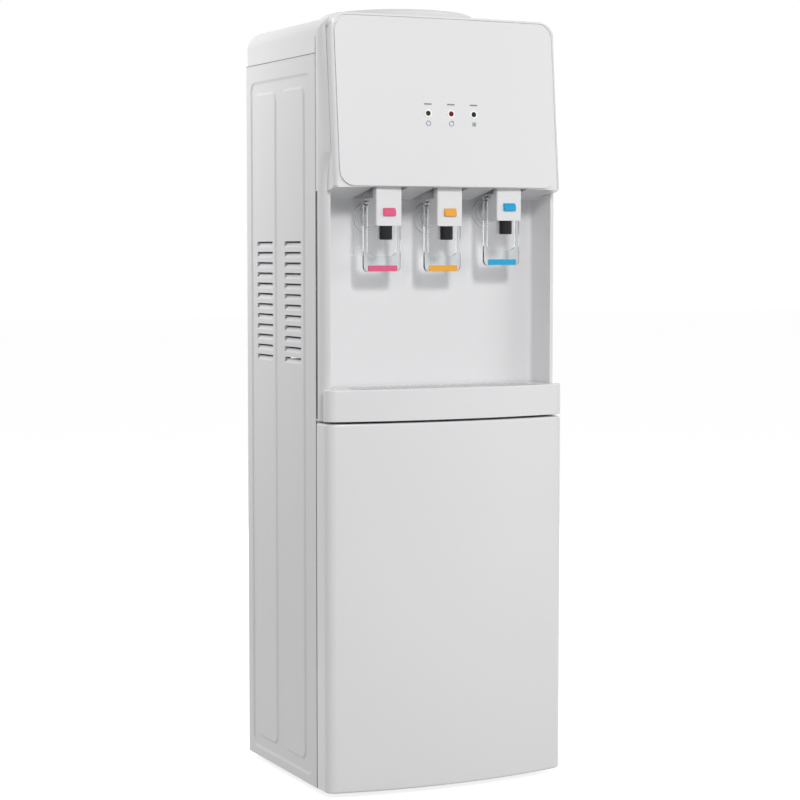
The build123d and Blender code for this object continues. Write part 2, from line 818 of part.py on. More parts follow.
with BuildPart() as door_liner:
    add(door_pan(0))
    with BuildPart(mode=Mode.PRIVATE) as sink:
        sink_height = door_height - 2 * liner_margin_z
        rear = Plane(origin=(0, at(-door_back), door_middle), x_dir=(-1, 0, 0), z_dir=(0, -1, 0))
        with BuildSketch(rear):
            RectangleRounded(
                2 * (liner_half_width - liner_sheet), sink_height - 2 * liner_sheet, 28.0 - liner_sheet
            )
        with BuildSketch(rear.offset(liner_sink - liner_sheet)):
            RectangleRounded(
                2 * (liner_half_width - liner_sheet - liner_draft),
                sink_height - 2 * (liner_sheet + liner_draft),
                20.0 - liner_sheet,
            )
        loft()
    add(sink.part, mode=Mode.SUBTRACT)
    for boss_z in (door_bottom, door_top - hinge_boss_height - 1):
        with BuildSketch(Plane.XY.offset(boss_z)):
            with Locations((hinge_x, at(-hinge_reach))):
                Circle(hinge_boss_radius + 4 * seam)
        extrude(amount=hinge_boss_height + 1, mode=Mode.SUBTRACT)
door_liner.part.label = "door_liner"
export_step(door_liner.part, "parts/door_liner.step")

with BuildPart() as door_gasket:
    with BuildSketch(Plane.XZ.offset(-at(-door_back))):
        with Locations((0, door_middle)):
            Rectangle(2 * seal_half, door_height - 2 * seal_margin)
            Rectangle(2 * (seal_half - seal_width), door_height - 2 * (seal_margin + seal_width), mode=Mode.SUBTRACT)
    extrude(amount=-(door_back - seal_gap))
    # groove that turns the strip into two lips
    with BuildSketch(Plane.XZ.offset(-at(-seal_gap))):
        with Locations((0, door_middle)):
            Rectangle(2 * seal_half - 6, door_height - 2 * seal_margin - 6)
            Rectangle(
                2 * (seal_half - seal_width) + 6,
                door_height - 2 * (seal_margin + seal_width) + 6,
                mode=Mode.SUBTRACT,
            )
    extrude(amount=1.6, mode=Mode.SUBTRACT)
door_gasket.part.label = "door_gasket"
export_step(door_gasket.part, "parts/door_gasket.step")

plate_left = 158.0
plate_right = 180.0
plate_front = 24.0
lower_plate_top = door_bottom - 1.0
lower_plate_back = 18.0
rail_depth = 20.0
rail_drop = 16.0

with BuildPart() as hinge_brackets:
    # upper plate under the frame, with an ear that the pin hangs from
    with BuildSketch(Plane.XY.offset(tray_bottom - plate_thickness)):
        with Locations(((plate_left + plate_right) / 2, at((-plate_front - seam) / 2))):
            RectangleRounded(plate_right - plate_left, plate_front - seam, 4.0)
        with Locations((hinge_x, at(-hinge_reach))):
            Circle(hinge_hole_radius, mode=Mode.SUBTRACT)
    extrude(amount=plate_thickness)
    # lower plate under the cabinet
    with BuildSketch(Plane.XY.offset(lower_plate_top - plate_thickness)):
        with Locations(((plate_left + plate_right) / 2, at((lower_plate_back - plate_front) / 2))):
            RectangleRounded(plate_right - plate_left, plate_front + lower_plate_back, 4.0)
        with Locations((hinge_x, at(-hinge_reach))):
            Circle(hinge_hole_radius, mode=Mode.SUBTRACT)
    extrude(amount=plate_thickness)
    with BuildSketch(Plane.XY.offset(lower_plate_top)):
        with Locations(((plate_left + plate_right) / 2, at((lower_plate_back + 2) / 2))):
            RectangleRounded(plate_right - plate_left, lower_plate_back - 2, 3.0)
    extrude(amount=side_bottom - lower_plate_top)
hinge_brackets.part.label = "hinge_brackets"
export_step(hinge_brackets.part, "parts/hinge_brackets.step")

pin_length = 14.0
pin_head_radius = 5.0
pin_head = 2.0

with BuildPart() as hinge_pins:
    with BuildSketch(Plane.XY.offset(lower_plate_top - plate_thickness)):
        with Locations((hinge_x, at(-hinge_reach))):
            Circle(hinge_pin_radius)
    extrude(amount=plate_thickness + pin_length)
    with BuildSketch(Plane.XY.offset(lower_plate_top - plate_thickness)):
        with Locations((hinge_x, at(-hinge_reach))):
            Circle(pin_head_radius)
    extrude(amount=-pin_head)
    with BuildSketch(Plane.XY.offset(tray_bottom)):
        with Locations((hinge_x, at(-hinge_reach))):
            Circle(hinge_pin_radius)
    extrude(amount=-(plate_thickness + pin_length))
    with BuildSketch(Plane.XY.offset(door_top + seam)):
        with Locations((hinge_x, at(-hinge_reach))):
            Circle(pin_head_radius)
    extrude(amount=tray_bottom - plate_thickness - door_top - seam)
hinge_pins.part.label = "hinge_pins"
export_step(hinge_pins.part, "parts/hinge_pins.step")

with BuildPart() as cross_rail:
    with BuildSketch(Plane.YZ):
        with BuildLine():
            Polyline(
                (at(0), tray_bottom),
                (at(rail_depth), tray_bottom),
                (at(rail_depth), tray_bottom - sheet),
                (at(sheet), tray_bottom - sheet),
                (at(sheet), tray_bottom - rail_drop),
                (at(0), tray_bottom - rail_drop),
                close=True,
            )
        make_face()
    extrude(amount=half_width - front_flange - seam, both=True)
cross_rail.part.label = "cross_rail"
export_step(cross_rail.part, "parts/cross_rail.step")

# ---------------------------------------------------------------- taps
tap_names = ("hot", "room", "cold")
tap_places = (-1, 0, 1)
ring_radius = 22.0
inner_ring_radius = 16.5
ring_thickness = 3.0
post_width = 7.0
post_depth = 5.0
post_height = 18.0
shank_end = 38.0
shank_bore = 6.0
nut_width = 34.0
nut_thickness = 7.0
pocket_depth = 4.6
pocket_gap = 0.15
slope_share = 0.38  # share of the button's height that slopes back


def tap_rise(place):
    return cold_tap_rise if place == 1 else 0.0


def tap_body(place):
    """Cap, post under it and the hollow shank through the wall of the recess."""
    x = place * tap_pitch
    rise = tap_rise(place)
    with BuildPart(mode=Mode.PRIVATE) as body:
        with BuildSketch(Plane.YZ.offset(x)):
            with BuildLine():
                Polyline(
                    (at(-tap_back), cap_bottom + rise),
                    (at(-tap_front), cap_bottom + rise),
                    (at(-tap_front), cap_top + rise),
                    (at(-cap_step), cap_top + rise),
                    (at(-cap_step), cap_step_top + rise),
                    (at(-tap_back), cap_step_top + rise),
                    close=True,
                )
            make_face()
        extrude(amount=cap_width / 2, both=True)
        long_edges = body.edges().filter_by(Axis.Y) + body.edges().filter_by(Axis.Z)
        fillet(long_edges, 2.5)
        with BuildSketch(Plane.XY.offset(cap_bottom + rise)):
            with Locations((x, at(-tap_back - post_depth / 2 - 1))):
                Rectangle(post_width, post_depth)
        extrude(amount=-post_height)
        with BuildSketch(Plane.XZ.offset(-at(-tap_back - wall))):
            with Locations((x, shank_height + rise)):
                Circle(shank_radius)
        extrude(amount=-(shank_end + tap_back + wall))
        # water way: back along the shank, then down through the nozzle
        with BuildSketch(Plane.XZ.offset(-at(shank_end))):
            with Locations((x, shank_height + rise)):
                Circle(shank_bore)
        extrude(amount=shank_end + nozzle_reach, mode=Mode.SUBTRACT)
        with BuildSketch(Plane.XY.offset(cap_bottom + rise)):
            with Locations((x, at(-nozzle_reach))):
                Circle(nozzle_bore)
        extrude(amount=shank_height - cap_bottom, mode=Mode.SUBTRACT)
        # pocket for the button
        with BuildSketch(Plane.XZ.offset(-at(-tap_front))):
            with Locations((x, button_bottom + button_height / 2 + rise)):
                Rectangle(button_width + 2 * pocket_gap, button_height + 2 * pocket_gap)
        extrude(amount=-pocket_depth, mode=Mode.SUBTRACT)
        # bearing of the lever
        with BuildSketch(Plane.YZ.offset(x - cap_width / 2)):
            with Locations((at(-lever_reach), lever_pivot + rise)):
                Circle(lever_pin_radius + running_gap)
        extrude(amount=cap_width, mode=Mode.SUBTRACT)
    return body.part


def tap_lever(place):
    """Clear lever: two arms beside the cap and a broad push plate below the nozzle."""
    x = place * tap_pitch
    rise = tap_rise(place)
    with BuildPart(mode=Mode.PRIVATE) as lever:
        with BuildSketch(Plane.XZ.offset(-at(-lever_reach + lever_thickness / 2))):
            with BuildLine():
                Polyline(
                    (x - lever_half, lever_pivot + rise),
                    (x - lever_half, lever_bottom + rise),
                    (x + lever_half, lever_bottom + rise),
                    (x + lever_half, lever_pivot + rise),
                    (x + lever_window_half, lever_pivot + rise),
                    (x + lever_window_half, lever_window_bottom + rise),
                    (x - lever_window_half, lever_window_bottom + rise),
                    (x - lever_window_half, lever_pivot + rise),
                    close=True,
                )
            make_face()
        extrude(amount=lever_thickness)
        outer_corners = lever.edges().filter_by(Axis.Y).filter_by(
            lambda e: abs(e.center().Z - lever_bottom - rise) < 0.01
        )
        fillet(outer_corners, lever_corner)
        inner_corners = lever.edges().filter_by(Axis.Y).filter_by(
            lambda e: abs(e.center().Z - lever_window_bottom - rise) < 0.01
        )
        fillet(inner_corners, lever_corner + 2)
        with BuildSketch(Plane.YZ.offset(x - lever_half)):
            with Locations((at(-lever_reach), lever_pivot + rise)):
                Circle(lever_thickness / 2 + 2)
        extrude(amount=lever_half - lever_window_half)
        with BuildSketch(Plane.YZ.offset(x + lever_window_half)):
            with Locations((at(-lever_reach), lever_pivot + rise)):
                Circle(lever_thickness / 2 + 2)
        extrude(amount=lever_half - lever_window_half)
        with BuildSketch(Plane.YZ.offset(x - lever_half)):
            with Locations((at(-lever_reach), lever_pivot + rise)):
                Circle(lever_pin_radius + running_gap)
        extrude(amount=2 * lever_half, mode=Mode.SUBTRACT)
    return lever.part


def tap_bar(place):
    """Coloured bar along the foot of the lever."""
    with BuildPart(mode=Mode.PRIVATE) as bar:
        with BuildSketch(Plane.XZ.offset(-at(-lever_reach - lever_thickness / 2))):
            with Locations((place * tap_pitch, lever_bottom + 0.8 + lever_bar_height / 2 + tap_rise(place))):
                Rectangle(lever_bar_width, lever_bar_height)
        extrude(amount=lever_bar_thickness)
        fillet(bar.edges().filter_by(Axis.Y), 1.5)
    return bar.part


def tap_button(place, seat):
    """Button whose upper part slopes back into the cap; seat is how deep it reaches into the pocket."""
    x = place * tap_pitch
    foot = button_bottom + tap_rise(place)
    with BuildPart(mode=Mode.PRIVATE) as button:
        with BuildSketch(Plane.YZ.offset(x)):
            with BuildLine():
                Polyline(
                    (at(-tap_front + seat), foot),
                    (at(-tap_front - button_proud), foot),
                    (at(-tap_front - button_proud), foot + button_height * (1 - slope_share)),
                    (at(-tap_front - 0.4), foot + button_height),
                    (at(-tap_front + seat), foot + button_height),
                    close=True,
                )
            make_face()
        extrude(amount=button_width / 2, both=True)
    return button.part


with BuildPart() as hot_tap:
    add(tap_body(-1))
hot_tap.part.label = "hot_tap"
export_step(hot_tap.part, "parts/hot_tap.step")

with BuildPart() as room_tap:
    add(tap_body(0))
room_tap.part.label = "room_tap"
export_step(room_tap.part, "parts/room_tap.step")

with BuildPart() as cold_tap:
    add(tap_body(1))
cold_tap.part.label = "cold_tap"
export_step(cold_tap.part, "parts/cold_tap.step")

with BuildPart() as hot_lever:
    add(tap_lever(-1))
hot_lever.part.label = "hot_lever"
export_step(hot_lever.part, "parts/hot_lever.step")

with BuildPart() as room_lever:
    add(tap_lever(0))
room_lever.part.label = "room_lever"
export_step(room_lever.part, "parts/room_lever.step")

with BuildPart() as cold_lever:
    add(tap_lever(1))
cold_lever.part.label = "cold_lever"
export_step(cold_lever.part, "parts/cold_lever.step")

with BuildPart() as hot_lever_bar:
    add(tap_bar(-1))
hot_lever_bar.part.label = "hot_lever_bar"
export_step(hot_lever_bar.part, "parts/hot_lever_bar.step")

with BuildPart() as room_lever_bar:
    add(tap_bar(0))
room_lever_bar.part.label = "room_lever_bar"
export_step(room_lever_bar.part, "parts/room_lever_bar.step")

with BuildPart() as cold_lever_bar:
    add(tap_bar(1))
cold_lever_bar.part.label = "cold_lever_bar"
export_step(cold_lever_bar.part, "parts/cold_lever_bar.step")

with BuildPart() as hot_button:
    add(tap_button(-1, pocket_depth - button_travel - 2 * seam))
hot_button.part.label = "hot_button"
export_step(hot_button.part, "parts/hot_button.step")

with BuildPart() as room_button:
    add(tap_button(0, pocket_depth))
room_button.part.label = "room_button"
export_step(room_button.part, "parts/room_button.step")

with BuildPart() as cold_button:
    add(tap_button(1, pocket_depth))
cold_button.part.label = "cold_button"
export_step(cold_button.part, "parts/cold_button.step")

with BuildPart() as tap_nozzles:
    for place in tap_places:
        with BuildSketch(Plane.XY.offset(cap_bottom + tap_rise(place))):
            with Locations((place * tap_pitch, at(-nozzle_reach))):
                Circle(nozzle_radius)
        extrude(amount=-nozzle_drop)
    nozzle_rims = tap_nozzles.faces().filter_by(lambda f: f.normal_at().Z < -0.9).edges()
    chamfer(nozzle_rims, 1.0)
    for place in tap_places:
        with BuildSketch(Plane.XY.offset(cap_bottom + tap_rise(place))):
            with Locations((place * tap_pitch, at(-nozzle_reach))):
                Circle(nozzle_bore)
        extrude(amount=-nozzle_drop, mode=Mode.SUBTRACT)
tap_nozzles.part.label = "tap_nozzles"
export_step(tap_nozzles.part, "parts/tap_nozzles.step")

with BuildPart() as tap_flanges:
    for place in tap_places:
        with BuildSketch(Plane.XZ.offset(-at(niche_depth))):
            with Locations((place * tap_pitch, shank_height + tap_rise(place))):
                Circle(ring_radius)
        extrude(amount=ring_thickness)
        with BuildSketch(Plane.XZ.offset(-at(niche_depth - ring_thickness))):
            with Locations((place * tap_pitch, shank_height + tap_rise(place))):
                Circle(inner_ring_radius)
        extrude(amount=ring_thickness)
    for place in tap_places:
        with BuildSketch(Plane.XZ.offset(-at(niche_depth))):
            with Locations((place * tap_pitch, shank_height + tap_rise(place))):
                Circle(shank_radius + running_gap)
        extrude(amount=2 * ring_thickness, mode=Mode.SUBTRACT)
    # flat on top where the ring would meet the sloping ceiling
    with BuildSketch(Plane.YZ):
        with BuildLine():
            Polyline(
                (at(-niche_depth), underside_z(-niche_depth) - seam),
                (at(niche_depth), underside_z(niche_depth) - seam),
                (at(niche_depth), underside_z(-niche_depth) + 60),
                (at(-niche_depth), underside_z(-niche_depth) + 60),
                close=True,
            )
        make_face()
    extrude(amount=half_width, both=True, mode=Mode.SUBTRACT)
tap_flanges.part.label = "tap_flanges"
export_step(tap_flanges.part, "parts/tap_flanges.step")

with BuildPart() as tap_nuts:
    for place in tap_places:
        with BuildSketch(Plane.XZ.offset(-at(niche_depth + wall))):
            with Locations((place * tap_pitch, shank_height + tap_rise(place))):
                RegularPolygon(nut_width / 2, 6, major_radius=False)
                Circle(shank_radius + running_gap, mode=Mode.SUBTRACT)
        extrude(amount=-nut_thickness)
tap_nuts.part.label = "tap_nuts"
export_step(tap_nuts.part, "parts/tap_nuts.step")

with BuildPart() as lever_pins:
    for place in tap_places:
        with BuildSketch(Plane.YZ.offset(place * tap_pitch - lever_half)):
            with Locations((at(-lever_reach), lever_pivot + tap_rise(place))):
                Circle(lever_pin_radius)
        extrude(amount=2 * lever_half)
lever_pins.part.label = "lever_pins"
export_step(lever_pins.part, "parts/lever_pins.step")

# ---------------------------------------------------------------- base, feet and bottle compartment
body_half = 177.6  # inside the pressed side panels
body_bottom = side_bottom + sheet + seam
tray_base_top = 32.0
compartment_floor = 24.0
compartment_half = 172.0
compartment_back = 246.0
compartment_step = 30.0  # behind this depth the compartment reaches up behind the recess
compartment_low_top = 511.5
compartment_top = 545.0
compartment_sheet = 2.0
bottle_radius = 136.0
bottle_centre = 106.0
bottle_x = 16.0
foot_radius = 15.0
foot_x = 140.0
foot_front = 44.0
foot_back = 214.0
stud_radius = 4.0
stud_length = 10.0
foot_places = [
    (-foot_x, at(foot_front)),
    (foot_x, at(foot_front)),
    (-foot_x, at(foot_back)),
    (foot_x, at(foot_back)),
]

with BuildPart() as base_tray:
    with BuildSketch(Plane.XY.offset(body_bottom)):
        with Locations((0, at((sheet + seam + cabinet_depth - 2 * sheet - seam) / 2))):
            Rectangle(2 * body_half, cabinet_depth - 3 * sheet - 2 * seam)
    extrude(amount=tray_base_top - body_bottom)
    # sill between the side flanges, for the seal of the door
    with BuildSketch(Plane.XY.offset(body_bottom)):
        with Locations((0, at(sheet))):
            Rectangle(2 * (half_width - front_flange - seam), 2 * sheet)
    extrude(amount=tray_base_top - body_bottom)
    # underside
    with BuildSketch(Plane.XY.offset(body_bottom)):
        with Locations((0, at(cabinet_depth / 2))):
            Rectangle(2 * body_half - 8, cabinet_depth - 12)
        with Locations(*foot_places):
            Circle(stud_radius + 4, mode=Mode.SUBTRACT)
    extrude(amount=compartment_floor - 3 - body_bottom, mode=Mode.SUBTRACT)
    # seat of the compartment walls, and the floor inside them
    with BuildSketch(Plane.XY.offset(compartment_floor)):
        with Locations((0, at((compartment_back + sheet + seam) / 2))):
            Rectangle(2 * compartment_half + seam, compartment_back - sheet - seam + seam)
        with Locations((0, at(0))):
            Rectangle(2 * (compartment_half - compartment_sheet - 8), 6 * sheet, mode=Mode.ADD)
    extrude(amount=tray_base_top - compartment_floor, mode=Mode.SUBTRACT)
    # low ring that centres the bottle
    with BuildSketch(Plane.XY.offset(compartment_floor)):
        with Locations((bottle_x, at(bottle_centre))):
            Circle(bottle_radius + 4)
            Circle(bottle_radius, mode=Mode.SUBTRACT)
        with Locations((0, at(cabinet_depth / 2))):
            Rectangle(2 * compartment_half - 12, cabinet_depth - 24, mode=Mode.INTERSECT)
    extrude(amount=6.0)
    with BuildSketch(Plane.XY.offset(body_bottom)):
        with Locations(*foot_places):
            Circle(stud_radius + running_gap)
    extrude(amount=stud_length, mode=Mode.SUBTRACT)
base_tray.part.label = "base_tray"
export_step(base_tray.part, "parts/base_tray.step")

with BuildPart() as feet:
    with BuildSketch(Plane.XY):
        with Locations(*foot_places):
            Circle(foot_radius)
    extrude(amount=body_bottom)
    tread_rims = feet.faces().filter_by(lambda f: f.normal_at().Z < -0.9).edges()
    chamfer(tread_rims, 2.0)
    with BuildSketch(Plane.XY.offset(body_bottom)):
        with Locations(*foot_places):
            Circle(stud_radius)
    extrude(amount=stud_length - 1)
feet.part.label = "feet"
export_step(feet.part, "parts/feet.step")

probe_x = -138.0
probe_depth = 210.0
probe_cap_radius = 28.0
probe_cap_bottom = 440.0
probe_cap_height = 26.0
probe_tube_radius = 6.0
probe_tube_bottom = 60.0
hose_radius = 5.0
hose_bore = 3.5
clip_height = 12.0
clip_z = 400.0

with BuildPart() as compartment_liner:
    with BuildSketch(Plane.YZ):
        with BuildLine():
            Polyline(
                (at(sheet + seam), compartment_floor),
                (at(compartment_back), compartment_floor),
                (at(compartment_back), compartment_top),
                (at(compartment_step), compartment_top),
                (at(compartment_step), compartment_low_top),
                (at(sheet + seam), compartment_low_top),
                close=True,
            )
        make_face()
    extrude(amount=compartment_half, both=True)
    with BuildSketch(Plane.YZ):
        with BuildLine():
            Polyline(
                (at(0), 0),
                (at(compartment_back - compartment_sheet), 0),
                (at(compartment_back - compartment_sheet), compartment_top - compartment_sheet),
                (at(compartment_step + compartment_sheet), compartment_top - compartment_sheet),
                (at(compartment_step + compartment_sheet), compartment_low_top - compartment_sheet),
                (at(0), compartment_low_top - compartment_sheet),
                close=True,
            )
        make_face()
    extrude(amount=compartment_half - compartment_sheet, both=True, mode=Mode.SUBTRACT)
    # clip on the side wall that holds the probe while the bottle is changed
    with BuildSketch(Plane.XY.offset(clip_z)):
        with Locations((probe_x, at(probe_depth))):
            Circle(probe_tube_radius + 3)
        with Locations(((probe_x - compartment_half + compartment_sheet) / 2, at(probe_depth))):
            Rectangle(probe_x + compartment_half - compartment_sheet, 6)
        with Locations((probe_x, at(probe_depth))):
            Circle(probe_tube_radius + running_gap, mode=Mode.SUBTRACT)
        with Locations((probe_x + probe_tube_radius, at(probe_depth))):
            Rectangle(2 * probe_tube_radius, 9, mode=Mode.SUBTRACT)
    extrude(amount=clip_height)
    with BuildSketch(Plane.YZ.offset(-compartment_half + compartment_sheet)):
        with Locations((at(probe_depth), clip_z + clip_height / 2)):
            Rectangle(24, 30)
    extrude(amount=2.5)
compartment_liner.part.label = "compartment_liner"
export_step(compartment_liner.part, "parts/compartment_liner.step")

# ---------------------------------------------------------------- probe that draws from the bottle
with BuildPart() as bottle_probe:
    with BuildSketch(Plane.XY.offset(probe_cap_bottom)):
        with Locations((probe_x, at(probe_depth))):
            Circle(probe_cap_radius)
    extrude(amount=probe_cap_height)
    fillet(bottle_probe.edges().group_by(Axis.Z)[-1], 5.0)
    with BuildSketch(Plane.XY.offset(probe_cap_bottom)):
        with Locations((probe_x, at(probe_depth))):
            Circle(probe_cap_radius - wall)
    extrude(amount=probe_cap_height - 2 * wall, mode=Mode.SUBTRACT)
    with BuildSketch(Plane.XY.offset(probe_tube_bottom)):
        with Locations((probe_x, at(probe_depth))):
            Circle(probe_tube_radius)
    extrude(amount=probe_cap_bottom + probe_cap_height - probe_tube_bottom)
    with BuildSketch(Plane.XY.offset(probe_tube_bottom)):
        with Locations((probe_x, at(probe_depth))):
            Circle(probe_tube_radius - 2)
    extrude(amount=probe_cap_bottom + probe_cap_height, mode=Mode.SUBTRACT)
    # inlet slots near the foot of the tube
    with BuildSketch(Plane.YZ.offset(probe_x - probe_tube_radius)):
        with Locations((at(probe_depth), probe_tube_bottom + 10)):
            with GridLocations(1, 16, 1, 2):
                Rectangle(2.5, 10)
    extrude(amount=2 * probe_tube_radius, mode=Mode.SUBTRACT)
bottle_probe.part.label = "bottle_probe"
export_step(bottle_probe.part, "parts/bottle_probe.step")

with BuildPart() as probe_hose:
    with BuildSketch(Plane.XY.offset(probe_cap_bottom + probe_cap_height)):
        with Locations((probe_x, at(probe_depth))):
            Circle(hose_radius)
            Circle(hose_bore, mode=Mode.SUBTRACT)
    extrude(amount=compartment_top - compartment_sheet - probe_cap_bottom - probe_cap_height)
probe_hose.part.label = "probe_hose"
export_step(probe_hose.part, "parts/probe_hose.step")

# ---------------------------------------------------------------- shelves
shelf_thickness = 1.2
shelf_front = 30.0
shelf_back = 249.0
shelf_half = 177.8
shelf_lip = 12.0
upper_shelf = 765.0
upper_shelf_front = 45.0
upper_shelf_back = 228.0


with BuildPart() as tank_shelf:
    with BuildSketch(Plane.XY.offset(upper_shelf)):
        with Locations((0, at((upper_shelf_front + upper_shelf_back) / 2))):
            Rectangle(2 * shelf_half, upper_shelf_back - upper_shelf_front)
    extrude(amount=shelf_thickness)
    with BuildSketch(Plane.XY.offset(upper_shelf)):
        with Locations((0, at((upper_shelf_front + upper_shelf_back) / 2))):
            Rectangle(2 * shelf_half, upper_shelf_back - upper_shelf_front)
            Rectangle(2 * (shelf_half - shelf_thickness), upper_shelf_back, mode=Mode.SUBTRACT)
    extrude(amount=shelf_lip)
tank_shelf.part.label = "tank_shelf"
export_step(tank_shelf.part, "parts/tank_shelf.step")

# ---------------------------------------------------------------- compressor, pump and hot tank
machine_floor = compartment_top + shelf_thickness
grommet_height = 10.0
grommet_radius = 9.0
compressor_x = -72.0
compressor_depth = 128.0
compressor_radius = 58.0
compressor_height = 136.0
compressor_dome = 26.0
compressor_leg = 88.0
compressor_seat = machine_floor + grommet_height
leg_thickness = 3.0
hot_x = 98.0
hot_depth = 132.0
hot_radius = 44.0
hot_height = 140.0
hot_leg_height = 30.0
pump_x = 26.0
pump_depth = 62.0
pump_radius = 20.0
pump_height = 66.0

with BuildPart() as mid_shelf:
    with BuildSketch(Plane.XY.offset(compartment_top)):
        with Locations((0, at((shelf_front + shelf_back) / 2))):
            Rectangle(2 * shelf_half, shelf_back - shelf_front)
    extrude(amount=shelf_thickness)
    with BuildSketch(Plane.XY.offset(compartment_top)):
        with Locations((0, at((shelf_front + shelf_back) / 2))):
            Rectangle(2 * shelf_half, shelf_back - shelf_front)
            Rectangle(2 * (shelf_half - shelf_thickness), shelf_back - shelf_front, mode=Mode.SUBTRACT)
    extrude(amount=shelf_lip)
    # ring that carries the hot tank
    with BuildSketch(Plane.XY.offset(machine_floor)):
        with Locations((hot_x, at(hot_depth))):
            Circle(hot_radius - 10)
            Circle(hot_radius - 12, mode=Mode.SUBTRACT)
    extrude(amount=hot_leg_height)
    with BuildSketch(Plane.XY.offset(machine_floor)):
        with Locations((hot_x, at(hot_depth))):
            Circle(hot_radius)
            Circle(hot_radius - 12, mode=Mode.SUBTRACT)
    extrude(amount=2.0)
mid_shelf.part.label = "mid_shelf"
export_step(mid_shelf.part, "parts/mid_shelf.step")

with BuildPart() as compressor_grommets:
    with BuildSketch(Plane.XY.offset(machine_floor)):
        with Locations((compressor_x, at(compressor_depth))):
            with GridLocations(compressor_leg, compressor_leg, 2, 2):
                Circle(grommet_radius)
    extrude(amount=grommet_height)
    waist = compressor_grommets.edges().filter_by(GeomType.CIRCLE)
    chamfer(waist, 1.5)
compressor_grommets.part.label = "compressor_grommets"
export_step(compressor_grommets.part, "parts/compressor_grommets.step")

with BuildPart() as compressor:
    with BuildSketch(Plane.XY.offset(compressor_seat)):
        with Locations((compressor_x, at(compressor_depth))):
            RectangleRounded(compressor_leg + 20, compressor_leg + 20, 8.0)
    extrude(amount=leg_thickness)
    with BuildSketch(Plane.XY.offset(compressor_seat)):
        with Locations((compressor_x, at(compressor_depth))):
            Circle(compressor_radius)
    extrude(amount=compressor_height)
    shell_top = compressor.edges().group_by(Axis.Z)[-1]
    fillet(shell_top, compressor_dome)
    # seam band around the shell
    with BuildSketch(Plane.XY.offset(compressor_seat + compressor_height * 0.45)):
        with Locations((compressor_x, at(compressor_depth))):
            Circle(compressor_radius + 2)
    extrude(amount=4.0)
    # stubs of the refrigerant pipes
    for stub_x in (-22, 0, 22):
        with BuildSketch(Plane.XY.offset(compressor_seat + compressor_height - 2)):
            with Locations((compressor_x + stub_x, at(compressor_depth))):
                Circle(3.0)
        extrude(amount=16.0)
    # terminal box
    with BuildSketch(Plane.YZ.offset(compressor_x + compressor_radius - 4)):
        with Locations((at(compressor_depth), compressor_seat + 60)):
            RectangleRounded(44, 50, 5.0)
    extrude(amount=22.0)
compressor.part.label = "compressor"
export_step(compressor.part, "parts/compressor.step")

with BuildPart() as water_pump:
    with BuildSketch(Plane.XY.offset(machine_floor)):
        with Locations((pump_x, at(pump_depth))):
            RectangleRounded(46, 46, 5.0)
    extrude(amount=4.0)
    with BuildSketch(Plane.XY.offset(machine_floor)):
        with Locations((pump_x, at(pump_depth))):
            Circle(pump_radius)
    extrude(amount=pump_height)
    with BuildSketch(Plane.XY.offset(machine_floor + pump_height)):
        with Locations((pump_x, at(pump_depth))):
            Circle(pump_radius + 3)
    extrude(amount=14.0)
    fillet(water_pump.edges().group_by(Axis.Z)[-1], 3.0)
    with BuildSketch(Plane.YZ.offset(pump_x)):
        with Locations((at(pump_depth), machine_floor + pump_height + 7)):
            Circle(4.5)
    extrude(amount=38.0, both=True)
    with BuildSketch(Plane.YZ.offset(pump_x)):
        with Locations((at(pump_depth), machine_floor + pump_height + 7)):
            Circle(2.5)
    extrude(amount=38.0, both=True, mode=Mode.SUBTRACT)
water_pump.part.label = "water_pump"
export_step(water_pump.part, "parts/water_pump.step")

hot_bottom = machine_floor + hot_leg_height
drain_z = hot_bottom + 22.0
drain_reach = 232.0
drain_radius = 6.0
drain_bore = 3.5

with BuildPart(mode=Mode.PRIVATE) as hot_core:
    with BuildSketch(Plane.XY.offset(hot_bottom + wall)):
        with Locations((hot_x, at(hot_depth))):
            Circle(hot_radius - wall)
    extrude(amount=hot_height - 2 * wall)
    fillet(hot_core.edges().filter_by(GeomType.CIRCLE), 10.0 - wall)

with BuildPart() as hot_tank:
    with BuildSketch(Plane.XY.offset(hot_bottom)):
        with Locations((hot_x, at(hot_depth))):
            Circle(hot_radius)
    extrude(amount=hot_height)
    fillet(hot_tank.edges().filter_by(GeomType.CIRCLE), 10.0)
    # stub towards the drain at the rear, and outlet on the top
    with BuildSketch(Plane.XZ.offset(-at(hot_depth))):
        with Locations((hot_x, drain_z)):
            Circle(drain_radius)
    extrude(amount=-(drain_reach - hot_depth - 6))
    with BuildSketch(Plane.XY.offset(hot_bottom + hot_height - 4)):
        with Locations((hot_x, at(hot_depth))):
            Circle(drain_radius)
    extrude(amount=22.0)
    add(hot_core.part, mode=Mode.SUBTRACT)
    with BuildSketch(Plane.XZ.offset(-at(hot_depth))):
        with Locations((hot_x, drain_z)):
            Circle(drain_bore)
    extrude(amount=-(drain_reach - hot_depth), mode=Mode.SUBTRACT)
    with BuildSketch(Plane.XY.offset(hot_bottom + hot_height / 2)):
        with Locations((hot_x, at(hot_depth))):
            Circle(drain_bore)
    extrude(amount=hot_height, mode=Mode.SUBTRACT)
hot_tank.part.label = "hot_tank"
export_step(hot_tank.part, "parts/hot_tank.step")


# ---------------------------------------------------------------- cold tank in its insulation
cold_floor = upper_shelf + shelf_thickness
cold_depth = 134.0
cold_radius = 68.0
foam_half = 92.0
foam_top = 985.0
foam_base = 18.0
tank_sheet = 1.5
tank_rim = 8.0
tank_height = 245.0

